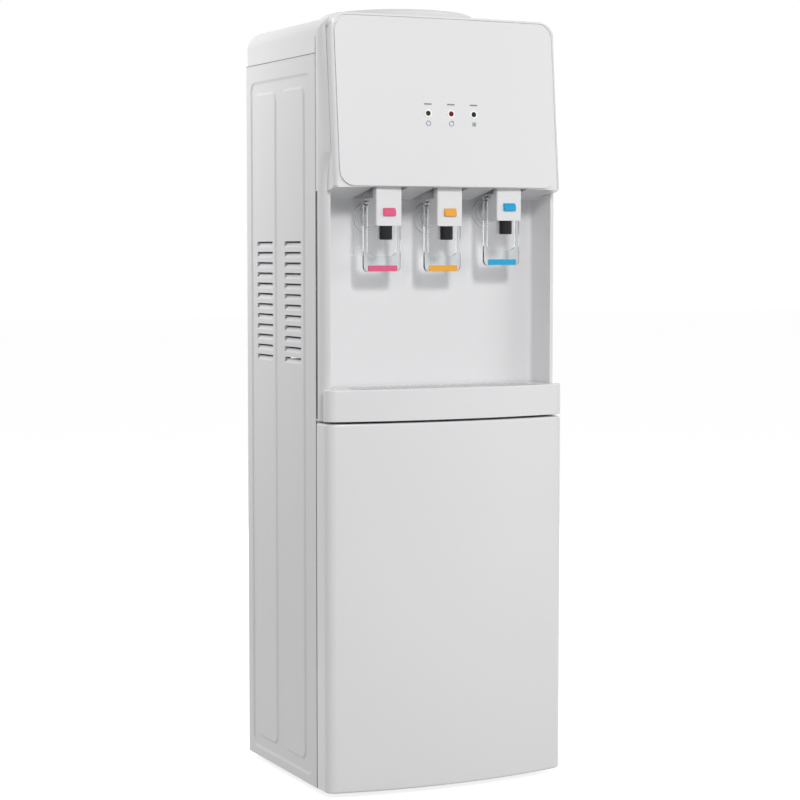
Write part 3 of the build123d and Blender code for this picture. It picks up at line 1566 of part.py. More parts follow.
with BuildPart() as tank_insulation:
    with BuildSketch(Plane.XY.offset(cold_floor)):
        with Locations((0, at(cold_depth))):
            RectangleRounded(2 * foam_half, 2 * foam_half - 6, 24.0)
    extrude(amount=foam_top - cold_floor)
    with BuildSketch(Plane.XY.offset(cold_floor + foam_base)):
        with Locations((0, at(cold_depth))):
            Circle(cold_radius + seam)
    extrude(amount=foam_top, mode=Mode.SUBTRACT)
tank_insulation.part.label = "tank_insulation"
export_step(tank_insulation.part, "parts/tank_insulation.step")

with BuildPart() as cold_tank:
    with BuildSketch(Plane.XY.offset(cold_floor + foam_base)):
        with Locations((0, at(cold_depth))):
            Circle(cold_radius)
    extrude(amount=tank_height)
    with BuildSketch(Plane.XY.offset(cold_floor + foam_base + tank_height - 2 * tank_sheet)):
        with Locations((0, at(cold_depth))):
            Circle(cold_radius + tank_rim)
    extrude(amount=2 * tank_sheet)
    with BuildSketch(Plane.XY.offset(cold_floor + foam_base + tank_sheet)):
        with Locations((0, at(cold_depth))):
            Circle(cold_radius - tank_sheet)
    extrude(amount=tank_height, mode=Mode.SUBTRACT)
cold_tank.part.label = "cold_tank"
export_step(cold_tank.part, "parts/cold_tank.step")

# baffle that keeps fresh water off the chilled water below
baffle_level = cold_floor + foam_base + tank_height * 0.55

with BuildPart() as tank_baffle:
    with BuildSketch(Plane.XY.offset(baffle_level)):
        with Locations((0, at(cold_depth))):
            Circle(cold_radius - tank_sheet - running_gap)
            PolarLocations(cold_radius - 16, 8)
        with Locations((0, at(cold_depth))):
            with PolarLocations(cold_radius - 16, 8):
                Circle(4.0, mode=Mode.SUBTRACT)
    extrude(amount=2.0)
    with BuildSketch(Plane.XY.offset(cold_floor + foam_base + tank_sheet)):
        with Locations((0, at(cold_depth))):
            Circle(12.0)
    extrude(amount=baffle_level - cold_floor - foam_base)
    with BuildSketch(Plane.XY.offset(cold_floor + foam_base + tank_sheet)):
        with Locations((0, at(cold_depth))):
            Circle(9.5)
    extrude(amount=tank_height, mode=Mode.SUBTRACT)
tank_baffle.part.label = "tank_baffle"
export_step(tank_baffle.part, "parts/tank_baffle.step")

# ---------------------------------------------------------------- rear panel with its recesses
rear_outer = cabinet_depth - sheet
rear_half = half_width - sheet - seam
rear_bottom = side_bottom + sheet + seam
rear_top = side_top - sheet - seam
pan_half = 150.0
pan_bottom = 648.0
pan_top = 986.0
pan_depth = 20.0
pan_radius = 16.0
cup_z = drain_z
drain_cup_half = 28.0
switch_x = -70.0
switch_cup_half = 62.0
switch_cup_height = 48.0
switch_cup_depth = 9.0
rear_skin = Plane(origin=(0, at(rear_outer), 0), x_dir=(1, 0, 0), z_dir=(0, -1, 0))
rear_cups = (
    # X, Z, half width, half height, depth, corner radius
    (0.0, (pan_bottom + pan_top) / 2, pan_half, (pan_top - pan_bottom) / 2, pan_depth, pan_radius),
    (hot_x, cup_z, drain_cup_half, drain_cup_half, pan_depth, 10.0),
    (switch_x, cup_z, switch_cup_half, switch_cup_height / 2, switch_cup_depth, 8.0),
)


rocker_half = 8.8
rocker_rise = 11.0
rocker_places = [(switch_x - 38, cup_z), (switch_x - 10, cup_z)]
inlet_place = (switch_x + 30, cup_z)

with BuildPart() as rear_panel:
    with BuildSketch(rear_skin):
        with Locations((0, (rear_bottom + rear_top) / 2)):
            Rectangle(2 * rear_half, rear_top - rear_bottom)
    extrude(amount=sheet)
    for cup_x, cup_middle, cup_half, cup_rise, cup_depth, cup_radius in rear_cups:
        with BuildSketch(rear_skin):
            with Locations((cup_x, cup_middle)):
                RectangleRounded(2 * (cup_half + sheet), 2 * (cup_rise + sheet), cup_radius)
        with BuildSketch(rear_skin.offset(cup_depth + sheet)):
            with Locations((cup_x, cup_middle)):
                RectangleRounded(2 * (cup_half + sheet - 3), 2 * (cup_rise + sheet - 3), cup_radius - 2)
        loft()
    for cup_x, cup_middle, cup_half, cup_rise, cup_depth, cup_radius in rear_cups:
        with BuildSketch(rear_skin):
            with Locations((cup_x, cup_middle)):
                RectangleRounded(2 * cup_half, 2 * cup_rise, cup_radius - sheet)
        with BuildSketch(rear_skin.offset(cup_depth)):
            with Locations((cup_x, cup_middle)):
                RectangleRounded(2 * (cup_half - 3), 2 * (cup_rise - 3), cup_radius - 2 - sheet)
        loft(mode=Mode.SUBTRACT)
    # vents above the recesses and low down behind the compartment
    with BuildSketch(rear_skin):
        with Locations((0, 560)):
            with GridLocations(46, 1, 3, 1):
                SlotOverall(34, 4)
    extrude(amount=sheet, mode=Mode.SUBTRACT)
    with BuildSketch(rear_skin):
        with Locations(*screw_places):
            Circle(screw_radius + running_gap)
    extrude(amount=sheet, mode=Mode.SUBTRACT)
    with BuildSketch(rear_skin):
        with Locations((hot_x, drain_z)):
            Circle(drain_radius + 2 * seam)
    extrude(amount=2 * pan_depth, mode=Mode.SUBTRACT)
    # openings behind the two rockers
    with BuildSketch(rear_skin.offset(switch_cup_depth)):
        with Locations(*rocker_places):
            Rectangle(2 * rocker_half + 1, 2 * rocker_rise + 2)
    extrude(amount=2 * sheet, mode=Mode.SUBTRACT)
rear_panel.part.label = "rear_panel"
export_step(rear_panel.part, "parts/rear_panel.step")

# ---------------------------------------------------------------- condenser on the rear
coil_reach = 239.5
coil_radius = 2.5
coil_half = 112.0
coil_pitch = 44.0
coil_lowest = 676.0
coil_runs = 7
wire_radius = 1.0
wire_pitch = 20.0
wires = 12
coil_plane = Plane(origin=(0, at(coil_reach), 0), x_dir=(1, 0, 0), z_dir=(0, -1, 0))
coil_top = coil_lowest + (coil_runs - 1) * coil_pitch
pad_size = 10.0

with BuildPart() as condenser_coil:
    with BuildLine(coil_plane) as coil_path:
        for run in range(coil_runs):
            level = coil_lowest + run * coil_pitch
            direction = 1 if run % 2 == 0 else -1
            Line((-direction * coil_half, level), (direction * coil_half, level))
            if run < coil_runs - 1:
                ThreePointArc(
                    (direction * coil_half, level),
                    (direction * (coil_half + coil_pitch / 2), level + coil_pitch / 2),
                    (direction * coil_half, level + coil_pitch),
                )
    with BuildSketch(Plane(origin=(-coil_half, at(coil_reach), coil_lowest), z_dir=(1, 0, 0))):
        Circle(coil_radius)
    sweep(path=coil_path.wires()[0])
condenser_coil.part.label = "condenser_coil"
export_step(condenser_coil.part, "parts/condenser_coil.step")

with BuildPart() as condenser_wires:
    for wire_reach in (-coil_radius - wire_radius, coil_radius + wire_radius):
        with BuildSketch(Plane.XY.offset(coil_lowest - 10)):
            with Locations((0, at(coil_reach + wire_reach))):
                with GridLocations(wire_pitch, 1, wires, 1):
                    RegularPolygon(wire_radius, 6)
        extrude(amount=coil_top - coil_lowest + 20)
        with BuildSketch(Plane.YZ.offset(-wires * wire_pitch / 2)):
            with Locations(
                (at(coil_reach + wire_reach), coil_lowest - 8), (at(coil_reach + wire_reach), coil_top + 8)
            ):
                RegularPolygon(wire_radius, 6)
        extrude(amount=wires * wire_pitch)
    # pads that stand on the floor of the recess
    with BuildSketch(rear_skin.offset(pan_depth)):
        with Locations((0, (coil_lowest + coil_top) / 2)):
            with GridLocations((wires - 1) * wire_pitch, coil_top - coil_lowest + 16, 2, 2):
                Rectangle(pad_size, pad_size)
    extrude(amount=-(coil_reach - coil_radius - wire_radius - rear_outer + pan_depth))
condenser_wires.part.label = "condenser_wires"
export_step(condenser_wires.part, "parts/condenser_wires.step")

# ---------------------------------------------------------------- switches and mains inlet
bezel_depth = 5.0
bezel_half_width = 56.0
bezel_half_height = 18.0
cup_floor = rear_outer - switch_cup_depth
rocker_pivot = cup_floor + bezel_depth / 2
rocker_tilt = 8.0
rocker_stub = 1.2
inlet_width = 26.0
inlet_height = 22.0
cup_skin = rear_skin.offset(switch_cup_depth)

with BuildPart() as switch_plate:
    with BuildSketch(cup_skin):
        with Locations((switch_x, cup_z)):
            RectangleRounded(2 * bezel_half_width, 2 * bezel_half_height, 5.0)
        with Locations(*rocker_places):
            Rectangle(2 * rocker_half + 0.4, 2 * rocker_rise + 2.6, mode=Mode.SUBTRACT)
        with Locations(inlet_place):
            Rectangle(inlet_width + 2 * running_gap, inlet_height + 2 * running_gap, mode=Mode.SUBTRACT)
    extrude(amount=-bezel_depth)
    for rocker_x, rocker_z in rocker_places:
        with BuildSketch(Plane.YZ.offset(rocker_x - rocker_half - 1.8)):
            with Locations((at(rocker_pivot), rocker_z)):
                Circle(rocker_stub + running_gap)
        extrude(amount=2 * rocker_half + 3.6, mode=Mode.SUBTRACT)
switch_plate.part.label = "switch_plate"
export_step(switch_plate.part, "parts/switch_plate.step")


def rocker(place):
    """Rocker with two pivot stubs, tilted to its resting side."""
    rocker_x, rocker_z = place
    turn = math.radians(rocker_tilt)
    corners = ((-3, -6), (-3, 6), (0, rocker_rise), (5.5, rocker_rise), (4.0, 0), (5.5, -rocker_rise), (0, -rocker_rise))
    tilted = [
        (
            at(rocker_pivot) + a * math.cos(turn) - b * math.sin(turn),
            rocker_z + a * math.sin(turn) + b * math.cos(turn),
        )
        for a, b in corners
    ]
    with BuildPart(mode=Mode.PRIVATE) as body:
        with BuildSketch(Plane.YZ.offset(rocker_x)):
            with BuildLine():
                Polyline(*tilted, close=True)
            make_face()
        extrude(amount=rocker_half, both=True)
        with BuildSketch(Plane.YZ.offset(rocker_x)):
            with Locations((at(rocker_pivot), rocker_z)):
                Circle(rocker_stub)
        extrude(amount=rocker_half + 1.5, both=True)
    return body.part


with BuildPart() as heating_switch:
    add(rocker(rocker_places[0]))
heating_switch.part.label = "heating_switch"
export_step(heating_switch.part, "parts/heating_switch.step")

with BuildPart() as cooling_switch:
    add(rocker(rocker_places[1]))
cooling_switch.part.label = "cooling_switch"
export_step(cooling_switch.part, "parts/cooling_switch.step")

with BuildPart() as mains_inlet:
    with BuildSketch(cup_skin):
        with Locations(inlet_place):
            Rectangle(inlet_width, inlet_height)
    extrude(amount=-(bezel_depth + 2))
    with BuildSketch(cup_skin.offset(-1.5)):
        with Locations(inlet_place):
            RectangleRounded(inlet_width - 5, inlet_height - 6, 2.0)
        with Locations((inlet_place[0], inlet_place[1] - 2)):
            with GridLocations(6, 1, 3, 1):
                Rectangle(1.6, 4.0, mode=Mode.SUBTRACT)
    extrude(amount=-(bezel_depth + 2), mode=Mode.SUBTRACT)
    fillet(mains_inlet.edges().filter_by(Axis.Y).group_by(Axis.Z)[0], 0.4)
mains_inlet.part.label = "mains_inlet"
export_step(mains_inlet.part, "parts/mains_inlet.step")

# ---------------------------------------------------------------- drain of the hot tank
spout_start = drain_reach - 6
spout_end = 243.0
spout_flange = rear_outer - pan_depth
cap_start = 235.0
cap_end = 248.0
cap_radius = 10.0

with BuildPart() as drain_spout:
    with BuildSketch(Plane.XZ.offset(-at(spout_start))):
        with Locations((hot_x, drain_z)):
            Circle(drain_radius)
    extrude(amount=-(spout_end - spout_start))
    with BuildSketch(Plane.XZ.offset(-at(spout_flange))):
        with Locations((hot_x, drain_z)):
            Circle(drain_radius + 6)
    extrude(amount=-2.5)
    with BuildSketch(Plane.XZ.offset(-at(spout_start))):
        with Locations((hot_x, drain_z)):
            Circle(drain_bore)
    extrude(amount=-(spout_end - spout_start), mode=Mode.SUBTRACT)
drain_spout.part.label = "drain_spout"
export_step(drain_spout.part, "parts/drain_spout.step")

with BuildPart() as drain_cap:
    with BuildSketch(Plane.XZ.offset(-at(cap_start))):
        with Locations((hot_x, drain_z)):
            Circle(cap_radius)
            with PolarLocations(cap_radius + 0.6, 12):
                Circle(1.6, mode=Mode.SUBTRACT)
    extrude(amount=-(cap_end - cap_start))
    with BuildSketch(Plane.XZ.offset(-at(cap_start))):
        with Locations((hot_x, drain_z)):
            Circle(drain_radius + running_gap)
    extrude(amount=-(spout_end - cap_start + seam), mode=Mode.SUBTRACT)
drain_cap.part.label = "drain_cap"
export_step(drain_cap.part, "parts/drain_cap.step")

# ---------------------------------------------------------------- screws of the rear panel
screw_tip = 246.5

with BuildPart() as rear_screws:
    with BuildSketch(Plane.XZ.offset(-at(screw_tip))):
        with Locations(*screw_places):
            Circle(screw_radius)
    extrude(amount=-(cabinet_depth - screw_tip))
    with BuildSketch(Plane.XZ.offset(-at(cabinet_depth))):
        with Locations(*screw_places):
            Circle(screw_head_radius)
    extrude(amount=-rear_proud)
    head_rims = rear_screws.faces().filter_by(lambda f: f.normal_at().Y > 0.9).filter_by(
        lambda f: abs(f.center().Y - at(cabinet_depth + rear_proud)) < 0.01
    )
    chamfer(head_rims.edges(), 0.8)
    with BuildSketch(Plane.XZ.offset(-at(cabinet_depth + rear_proud))):
        with Locations(*screw_places):
            Rectangle(4.4, 1.0)
            Rectangle(1.0, 4.4)
    extrude(amount=1.0, mode=Mode.SUBTRACT)
rear_screws.part.label = "rear_screws"
export_step(rear_screws.part, "parts/rear_screws.step")
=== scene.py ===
# %% [markdown]
# # A bottom load water cooler, dressed in Blender
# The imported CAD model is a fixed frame: every node has its place, and nearly every one its true shape.
# These cells give it camera, light, finishes and the fine pieces that CAD leaves out, and bring a few
# forms, such as the lid, closer to the real ones. All values are in metres.

# %% Load the frame
import bpy
import bmesh
import json
import math
from mathutils import Matrix, Vector

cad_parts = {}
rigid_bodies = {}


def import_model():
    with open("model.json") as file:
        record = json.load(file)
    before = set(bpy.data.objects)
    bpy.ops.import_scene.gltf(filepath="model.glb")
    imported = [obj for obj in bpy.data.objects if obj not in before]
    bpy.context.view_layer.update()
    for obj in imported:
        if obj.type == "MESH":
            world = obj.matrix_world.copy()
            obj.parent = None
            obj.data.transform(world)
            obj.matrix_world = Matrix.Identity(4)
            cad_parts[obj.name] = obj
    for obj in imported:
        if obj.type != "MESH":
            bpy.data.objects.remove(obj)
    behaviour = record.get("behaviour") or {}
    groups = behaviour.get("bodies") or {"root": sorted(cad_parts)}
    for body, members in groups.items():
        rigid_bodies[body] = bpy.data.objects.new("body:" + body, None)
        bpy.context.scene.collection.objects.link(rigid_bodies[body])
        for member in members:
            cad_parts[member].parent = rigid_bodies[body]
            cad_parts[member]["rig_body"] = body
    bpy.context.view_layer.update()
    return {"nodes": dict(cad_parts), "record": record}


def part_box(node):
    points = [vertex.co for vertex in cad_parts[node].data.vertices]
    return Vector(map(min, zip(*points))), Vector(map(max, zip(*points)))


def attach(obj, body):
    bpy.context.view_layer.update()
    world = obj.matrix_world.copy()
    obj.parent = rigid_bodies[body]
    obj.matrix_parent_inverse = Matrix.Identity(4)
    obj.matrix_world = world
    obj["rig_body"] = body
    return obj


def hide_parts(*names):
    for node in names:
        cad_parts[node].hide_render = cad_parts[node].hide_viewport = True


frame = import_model()
nodes = frame["nodes"]
scene = bpy.context.scene

# %% [markdown]
# ## Camera
# The camera was fitted to the straight edges of the cabinet: a 97 mm lens on a 36 mm sensor, to the left
# of the cooler at about two thirds of its height. A long lens keeps the upright edges nearly parallel.

# %% Camera
camera_place = (-1.3282, -2.7691, 0.7420)
looks_down = math.radians(3.94)
turned_right = math.radians(25.48)
camera_data = bpy.data.cameras.new("camera")
camera_data.lens = 96.78
camera_data.sensor_width = 36.0
camera_data.sensor_fit = "HORIZONTAL"
camera = bpy.data.objects.new("camera", camera_data)
camera.location = camera_place
camera.rotation_euler = (math.radians(90) - looks_down, 0.0, -turned_right)
scene.collection.objects.link(camera)
scene.camera = camera
print("camera stands", round(camera.location.length, 3), "m from the origin")

# %% [markdown]
# ## Studio
# The cooler stands on white without a horizon. Floor and world are white towards the camera, glass and
# gloss only; for the light that bounces, the floor is grey and the world a soft fill. So no lamp has
# to be raised for the background, and the floor still takes a faint shadow.

# %% White for the camera only
scene.view_settings.view_transform = "Standard"


def seen_directly(tree):
    """Socket that is 1 for rays from the camera, through glass or off gloss, and 0 for soft light."""
    path = tree.nodes.new("ShaderNodeLightPath")
    total = path.outputs["Is Camera Ray"]
    for name in ("Is Glossy Ray", "Is Transmission Ray"):
        either = tree.nodes.new("ShaderNodeMath")
        either.operation = "MAXIMUM"
        tree.links.new(total, either.inputs[0])
        tree.links.new(path.outputs[name], either.inputs[1])
        total = either.outputs[0]
    return total


print("view transform", scene.view_settings.view_transform)

# %% [markdown]
# ## Floor
# A large plane carries the shadow. It needs no wall behind it, because the world is the same white.
# One shader is what the camera sees, a pale floor that also glows, and the other is what lights the
# cooler from below, a plain grey.

# %% Floor
floor_size = 40.0
floor_glow = 0.8


def backdrop_material():
    """Floor that glows towards the camera and is plain grey for the light that bounces."""
    material = bpy.data.materials.new("studio floor")
    material.use_nodes = True
    tree = material.node_tree
    tree.nodes.clear()
    new, link = tree.nodes.new, tree.links.new
    output = new("ShaderNodeOutputMaterial")
    grey = new("ShaderNodeBsdfDiffuse")
    grey.inputs["Color"].default_value = (0.42, 0.42, 0.42, 1)
    pale = new("ShaderNodeBsdfDiffuse")
    pale.inputs["Color"].default_value = (0.55, 0.55, 0.55, 1)
    glow = new("ShaderNodeEmission")
    glow.inputs["Color"].default_value = (1, 1, 1, 1)
    glow.inputs["Strength"].default_value = floor_glow
    both = new("ShaderNodeAddShader")
    link(pale.outputs["BSDF"], both.inputs[0])
    link(glow.outputs["Emission"], both.inputs[1])
    mix = new("ShaderNodeMixShader")
    link(seen_directly(tree), mix.inputs["Fac"])
    link(grey.outputs["BSDF"], mix.inputs[1])
    link(both.outputs["Shader"], mix.inputs[2])
    link(mix.outputs["Shader"], output.inputs["Surface"])
    return material


bpy.ops.mesh.primitive_plane_add(size=floor_size, location=(0, 0, 0))
floor = bpy.context.object
floor.name = "studio_floor"
floor.data.materials.append(backdrop_material())
print("floor", floor_size, "m wide")

# %% [markdown]
# ## World
# The world could be a picture of a studio, but an even tone is enough for a white appliance: full white
# where it is seen, and a third of that where it lights the cooler from all sides.

# %% World
world_fill = 0.34
world = bpy.data.worlds.new("studio")
scene.world = world
world.use_nodes = True
tree = world.node_tree
tree.nodes.clear()
world_output = tree.nodes.new("ShaderNodeOutputWorld")
mix = tree.nodes.new("ShaderNodeMixShader")
seen = tree.nodes.new("ShaderNodeBackground")
fill = tree.nodes.new("ShaderNodeBackground")
seen.inputs["Color"].default_value = (1, 1, 1, 1)
seen.inputs["Strength"].default_value = 1.0
fill.inputs["Color"].default_value = (1, 1, 1, 1)
fill.inputs["Strength"].default_value = world_fill
tree.links.new(seen_directly(tree), mix.inputs["Fac"])
tree.links.new(fill.outputs["Background"], mix.inputs[1])
tree.links.new(seen.outputs["Background"], mix.inputs[2])
tree.links.new(mix.outputs["Shader"], world_output.inputs["Surface"])
print("world fill", world_fill)

# %% [markdown]
# ## Lamps
# A white appliance on a white ground only reads if its faces differ in tone. A small key lamp in front
# and above throws the soft shadows of the levers on the recess wall. A broad lamp to the right makes
# the bowed front paler on that side, and a weak one to the left reaches into the recess. Another
# stands close behind to the left, so the pressed side panel shows its raised fields and darkens
# downwards, and a low one lights the back.

# %% Lamps
def area_lamp(name, place, target, width, height, power, mirrored=False):
    """Soft rectangular lamp turned towards a target, never in the picture; only some show in gloss."""
    data = bpy.data.lights.new(name, "AREA")
    data.shape = "RECTANGLE"
    data.size = width
    data.size_y = height
    data.energy = power
    lamp = bpy.data.objects.new(name, data)
    lamp.location = place
    aim = Vector(target) - Vector(place)
    lamp.rotation_euler = aim.to_track_quat("-Z", "Y").to_euler()
    lamp.visible_camera = False
    lamp.visible_glossy = mirrored
    scene.collection.objects.link(lamp)


area_lamp("key_lamp", (-0.3, -2.7, 2.1), (0, -0.1, 0.6), 0.45, 0.45, 37, mirrored=True)
area_lamp("near_lamp", (-1.7, -2.1, 1.2), (0, -0.1, 0.7), 1.4, 1.4, 5)
area_lamp("right_lamp", (2.1, -1.8, 0.9), (0, -0.1, 0.6), 1.3, 1.5, 19)
area_lamp("left_lamp", (-0.75, 0.8, 1.2), (-0.18, 0, 0.7), 0.45, 0.45, 8.2)
area_lamp("rear_lamp", (0.7, 2.6, 0.9), (0, 0.1, 0.6), 1.2, 1.0, 16)

# %% [markdown]
# ## Shared effects
# Moulded plastic is never quite flat: a faint waviness shows in its reflections. Powder coat on
# sheet steel has a finer, stronger orange peel. Both are one node group that puts out a height and a
# slight change of tone and gloss, and each finish sets its own scale and strength.

# %% Skin group
def skin_group():
    """Node group with a Height, a Tone around 1 and a Gloss offset, all from Object coordinates."""
    group = bpy.data.node_groups.new("surface skin", "ShaderNodeTree")
    socket = group.interface.new_socket
    for name, default in (("Scale", 300.0), ("Tone Change", 0.02), ("Gloss Change", 0.05)):
        entry = socket(name=name, in_out="INPUT", socket_type="NodeSocketFloat")
        entry.default_value = default
    socket(name="Height", in_out="OUTPUT", socket_type="NodeSocketFloat")
    socket(name="Tone", in_out="OUTPUT", socket_type="NodeSocketFloat")
    socket(name="Gloss", in_out="OUTPUT", socket_type="NodeSocketFloat")
    new = group.nodes.new
    link = group.links.new
    inside = new("NodeGroupInput")
    outside = new("NodeGroupOutput")
    place = new("ShaderNodeTexCoord")
    fine = new("ShaderNodeTexNoise")
    fine.inputs["Detail"].default_value = 2.0
    broad = new("ShaderNodeTexNoise")
    broad.inputs["Scale"].default_value = 6.0
    broad.inputs["Detail"].default_value = 1.0
    link(place.outputs["Object"], fine.inputs["Vector"])
    link(place.outputs["Object"], broad.inputs["Vector"])
    link(inside.outputs["Scale"], fine.inputs["Scale"])
    link(fine.outputs["Fac"], outside.inputs["Height"])
    centred = new("ShaderNodeMath")
    centred.operation = "SUBTRACT"
    centred.inputs[1].default_value = 0.5
    link(broad.outputs["Fac"], centred.inputs[0])
    tone = new("ShaderNodeMath")
    tone.operation = "MULTIPLY_ADD"
    tone.inputs[2].default_value = 1.0
    link(centred.outputs[0], tone.inputs[0])
    link(inside.outputs["Tone Change"], tone.inputs[1])
    link(tone.outputs[0], outside.inputs["Tone"])
    gloss = new("ShaderNodeMath")
    gloss.operation = "MULTIPLY"
    link(centred.outputs[0], gloss.inputs[0])
    link(inside.outputs["Gloss Change"], gloss.inputs[1])
    link(gloss.outputs[0], outside.inputs["Gloss"])
    return group


skin = skin_group()
print("group", skin.name)

# %% Finish helper
def finish(name, colour, roughness, scale=300.0, bump=0.02, tone=0.02, gloss=0.05, **sockets):
    """Principled finish over the skin group; further sockets are set by name."""
    material = bpy.data.materials.new(name)
    material.use_nodes = True
    tree = material.node_tree
    shader = tree.nodes["Principled BSDF"]
    effect = tree.nodes.new("ShaderNodeGroup")
    effect.node_tree = skin
    effect.inputs["Scale"].default_value = scale
    effect.inputs["Tone Change"].default_value = tone
    effect.inputs["Gloss Change"].default_value = gloss
    shade = tree.nodes.new("ShaderNodeMix")
    shade.data_type = "RGBA"
    shade.blend_type = "MULTIPLY"
    shade.inputs["Factor"].default_value = 1.0
    # sockets 6 and 7 of a Mix node are the two colours, and output 2 is the mixed one
    shade.inputs[6].default_value = (*colour, 1)
    grey = tree.nodes.new("ShaderNodeCombineColor")
    for channel in ("Red", "Green", "Blue"):
        tree.links.new(effect.outputs["Tone"], grey.inputs[channel])
    tree.links.new(grey.outputs["Color"], shade.inputs[7])
    tree.links.new(shade.outputs[2], shader.inputs["Base Color"])
    rough = tree.nodes.new("ShaderNodeMath")
    rough.operation = "ADD"
    rough.use_clamp = True
    rough.inputs[1].default_value = roughness
    tree.links.new(effect.outputs["Gloss"], rough.inputs[0])
    tree.links.new(rough.outputs[0], shader.inputs["Roughness"])
    relief = tree.nodes.new("ShaderNodeBump")
    relief.inputs["Strength"].default_value = bump
    relief.inputs["Distance"].default_value = 0.001
    tree.links.new(effect.outputs["Height"], relief.inputs["Height"])
    tree.links.new(relief.outputs["Normal"], shader.inputs["Normal"])
    for socket, value in sockets.items():
        shader.inputs[socket.replace("_", " ")].default_value = value
    return material


# %% [markdown]
# ## Finishes
# The whole front is one glossy white moulding compound; the sides are white powder coat, slightly duller.
# The levers are clear, the nozzles black, and each tap carries its colour twice: on the button and the bar.

# %% Finishes
finishes = {
    "white_gloss": finish("glossy white moulding", (0.80, 0.80, 0.81), 0.26, 180, 0.03, 0.01, 0.04),
    "white_satin": finish("satin white moulding", (0.76, 0.76, 0.76), 0.45, 500, 0.05, 0.02, 0.05),
    "white_sheet": finish("white powder coat", (0.78, 0.78, 0.79), 0.40, 900, 0.10, 0.01, 0.05),
    "grey_sheet": finish("galvanised sheet", (0.45, 0.46, 0.47), 0.38, 60, 0.05, 0.12, 0.2, Metallic=1.0),
    "clear_lever": finish("clear moulded plastic", (0.86, 0.89, 0.90), 0.05, 90, 0.02, 0.0, 0.02),
    "black_plastic": finish("black moulding", (0.015, 0.015, 0.016), 0.28, 400, 0.04, 0.1, 0.1),
    "black_paint": finish("black enamel", (0.012, 0.012, 0.013), 0.32, 700, 0.12, 0.1, 0.1),
    "pink": finish("pink moulding", (0.79, 0.11, 0.23), 0.3, 300, 0.03, 0.04, 0.05),
    "orange": finish("orange moulding", (0.90, 0.42, 0.04), 0.3, 300, 0.03, 0.04, 0.05),
    "blue": finish("blue moulding", (0.01, 0.38, 0.69), 0.3, 300, 0.03, 0.04, 0.05),
    "lens_olive": finish("dark olive lens", (0.030, 0.034, 0.010), 0.12, 200, 0.02, 0.1, 0.05),
    "lens_red": finish("dark red lens", (0.16, 0.006, 0.02), 0.12, 200, 0.02, 0.1, 0.05),
    "lens_green": finish("dark green lens", (0.004, 0.028, 0.018), 0.12, 200, 0.02, 0.1, 0.05),
    # the seal's grey is partly its own colour and partly painted shade, darkened so the gap beside the door
    # reads dark
    "grey_rubber": finish("soft grey seal", (0.15, 0.15, 0.15), 0.6, 500, 0.1, 0.05, 0.05),
    "black_rubber": finish("black rubber", (0.012, 0.012, 0.012), 0.65, 600, 0.2, 0.1, 0.1),
    "steel": finish("stainless steel", (0.6, 0.6, 0.61), 0.28, 40, 0.02, 0.05, 0.15, Metallic=1.0),
    "board": finish("green circuit board", (0.02, 0.16, 0.06), 0.4, 300, 0.05, 0.2, 0.1),
    "foam": finish("expanded foam", (0.70, 0.68, 0.60), 0.85, 220, 0.5, 0.08, 0.02),
    "red_rocker": finish("red rocker", (0.5, 0.01, 0.01), 0.25, 300, 0.02, 0.05, 0.05),
    # painted shade: the dark grey of the seam strips stands in for the shadow inside the gaps between shells
    "seam_shadow": finish("painted shade in the gaps between shells", (0.20, 0.20, 0.20), 0.8, 300, 0.05, 0.1, 0.05),
    "print_grey": finish("grey printed mark", (0.24, 0.24, 0.25), 0.5, 400, 0.02, 0.1, 0.05),
    "pale_ring": finish("pale ring round a light", (0.97, 0.97, 0.93), 0.35, 300, 0.02, 0.02, 0.05),
    "green_rocker": finish("green rocker", (0.01, 0.25, 0.05), 0.25, 300, 0.02, 0.05, 0.05),
}
clear_shader = finishes["clear_lever"].node_tree.nodes["Principled BSDF"]
clear_shader.inputs["Transmission Weight"].default_value = 1.0
clear_shader.inputs["IOR"].default_value = 1.49
gloss_shader = finishes["white_gloss"].node_tree.nodes["Principled BSDF"]
gloss_shader.inputs["Coat Weight"].default_value = 0.3
gloss_shader.inputs["Coat Roughness"].default_value = 0.08
for name in ("black_plastic", "black_paint", "black_rubber", "lens_olive", "lens_red", "lens_green"):
    finishes[name].node_tree.nodes["Principled BSDF"].inputs["Specular IOR Level"].default_value = 0.22
print("finishes", len(finishes))

# %% [markdown]
# ## From CAD facets to smooth skins
# A CAD mesh is loose flat triangles. A copy is welded, its flat regions become whole faces again, and
# its curves are shaded smooth between creases. A narrow bevel catches light along each edge, as the
# small radius on every real moulding does. The copy then stands for the node.

# %% Dress every node
record = frame["record"]
slot_of = {entry["node"]: entry["material_slot"] for entry in record["subparts"]}
weld_distance = 0.000004
flat_within = math.radians(0.4)
moulded_crease = 32.0
# moulded edges are rounder than folded sheet or turned metal
edge_radius = {
    "white_gloss": 0.0006,
    "white_satin": 0.0005,
    "white_sheet": 0.0003,
    "clear_lever": 0.0008,
    "pink": 0.0004,
    "orange": 0.0004,
    "blue": 0.0004,
}


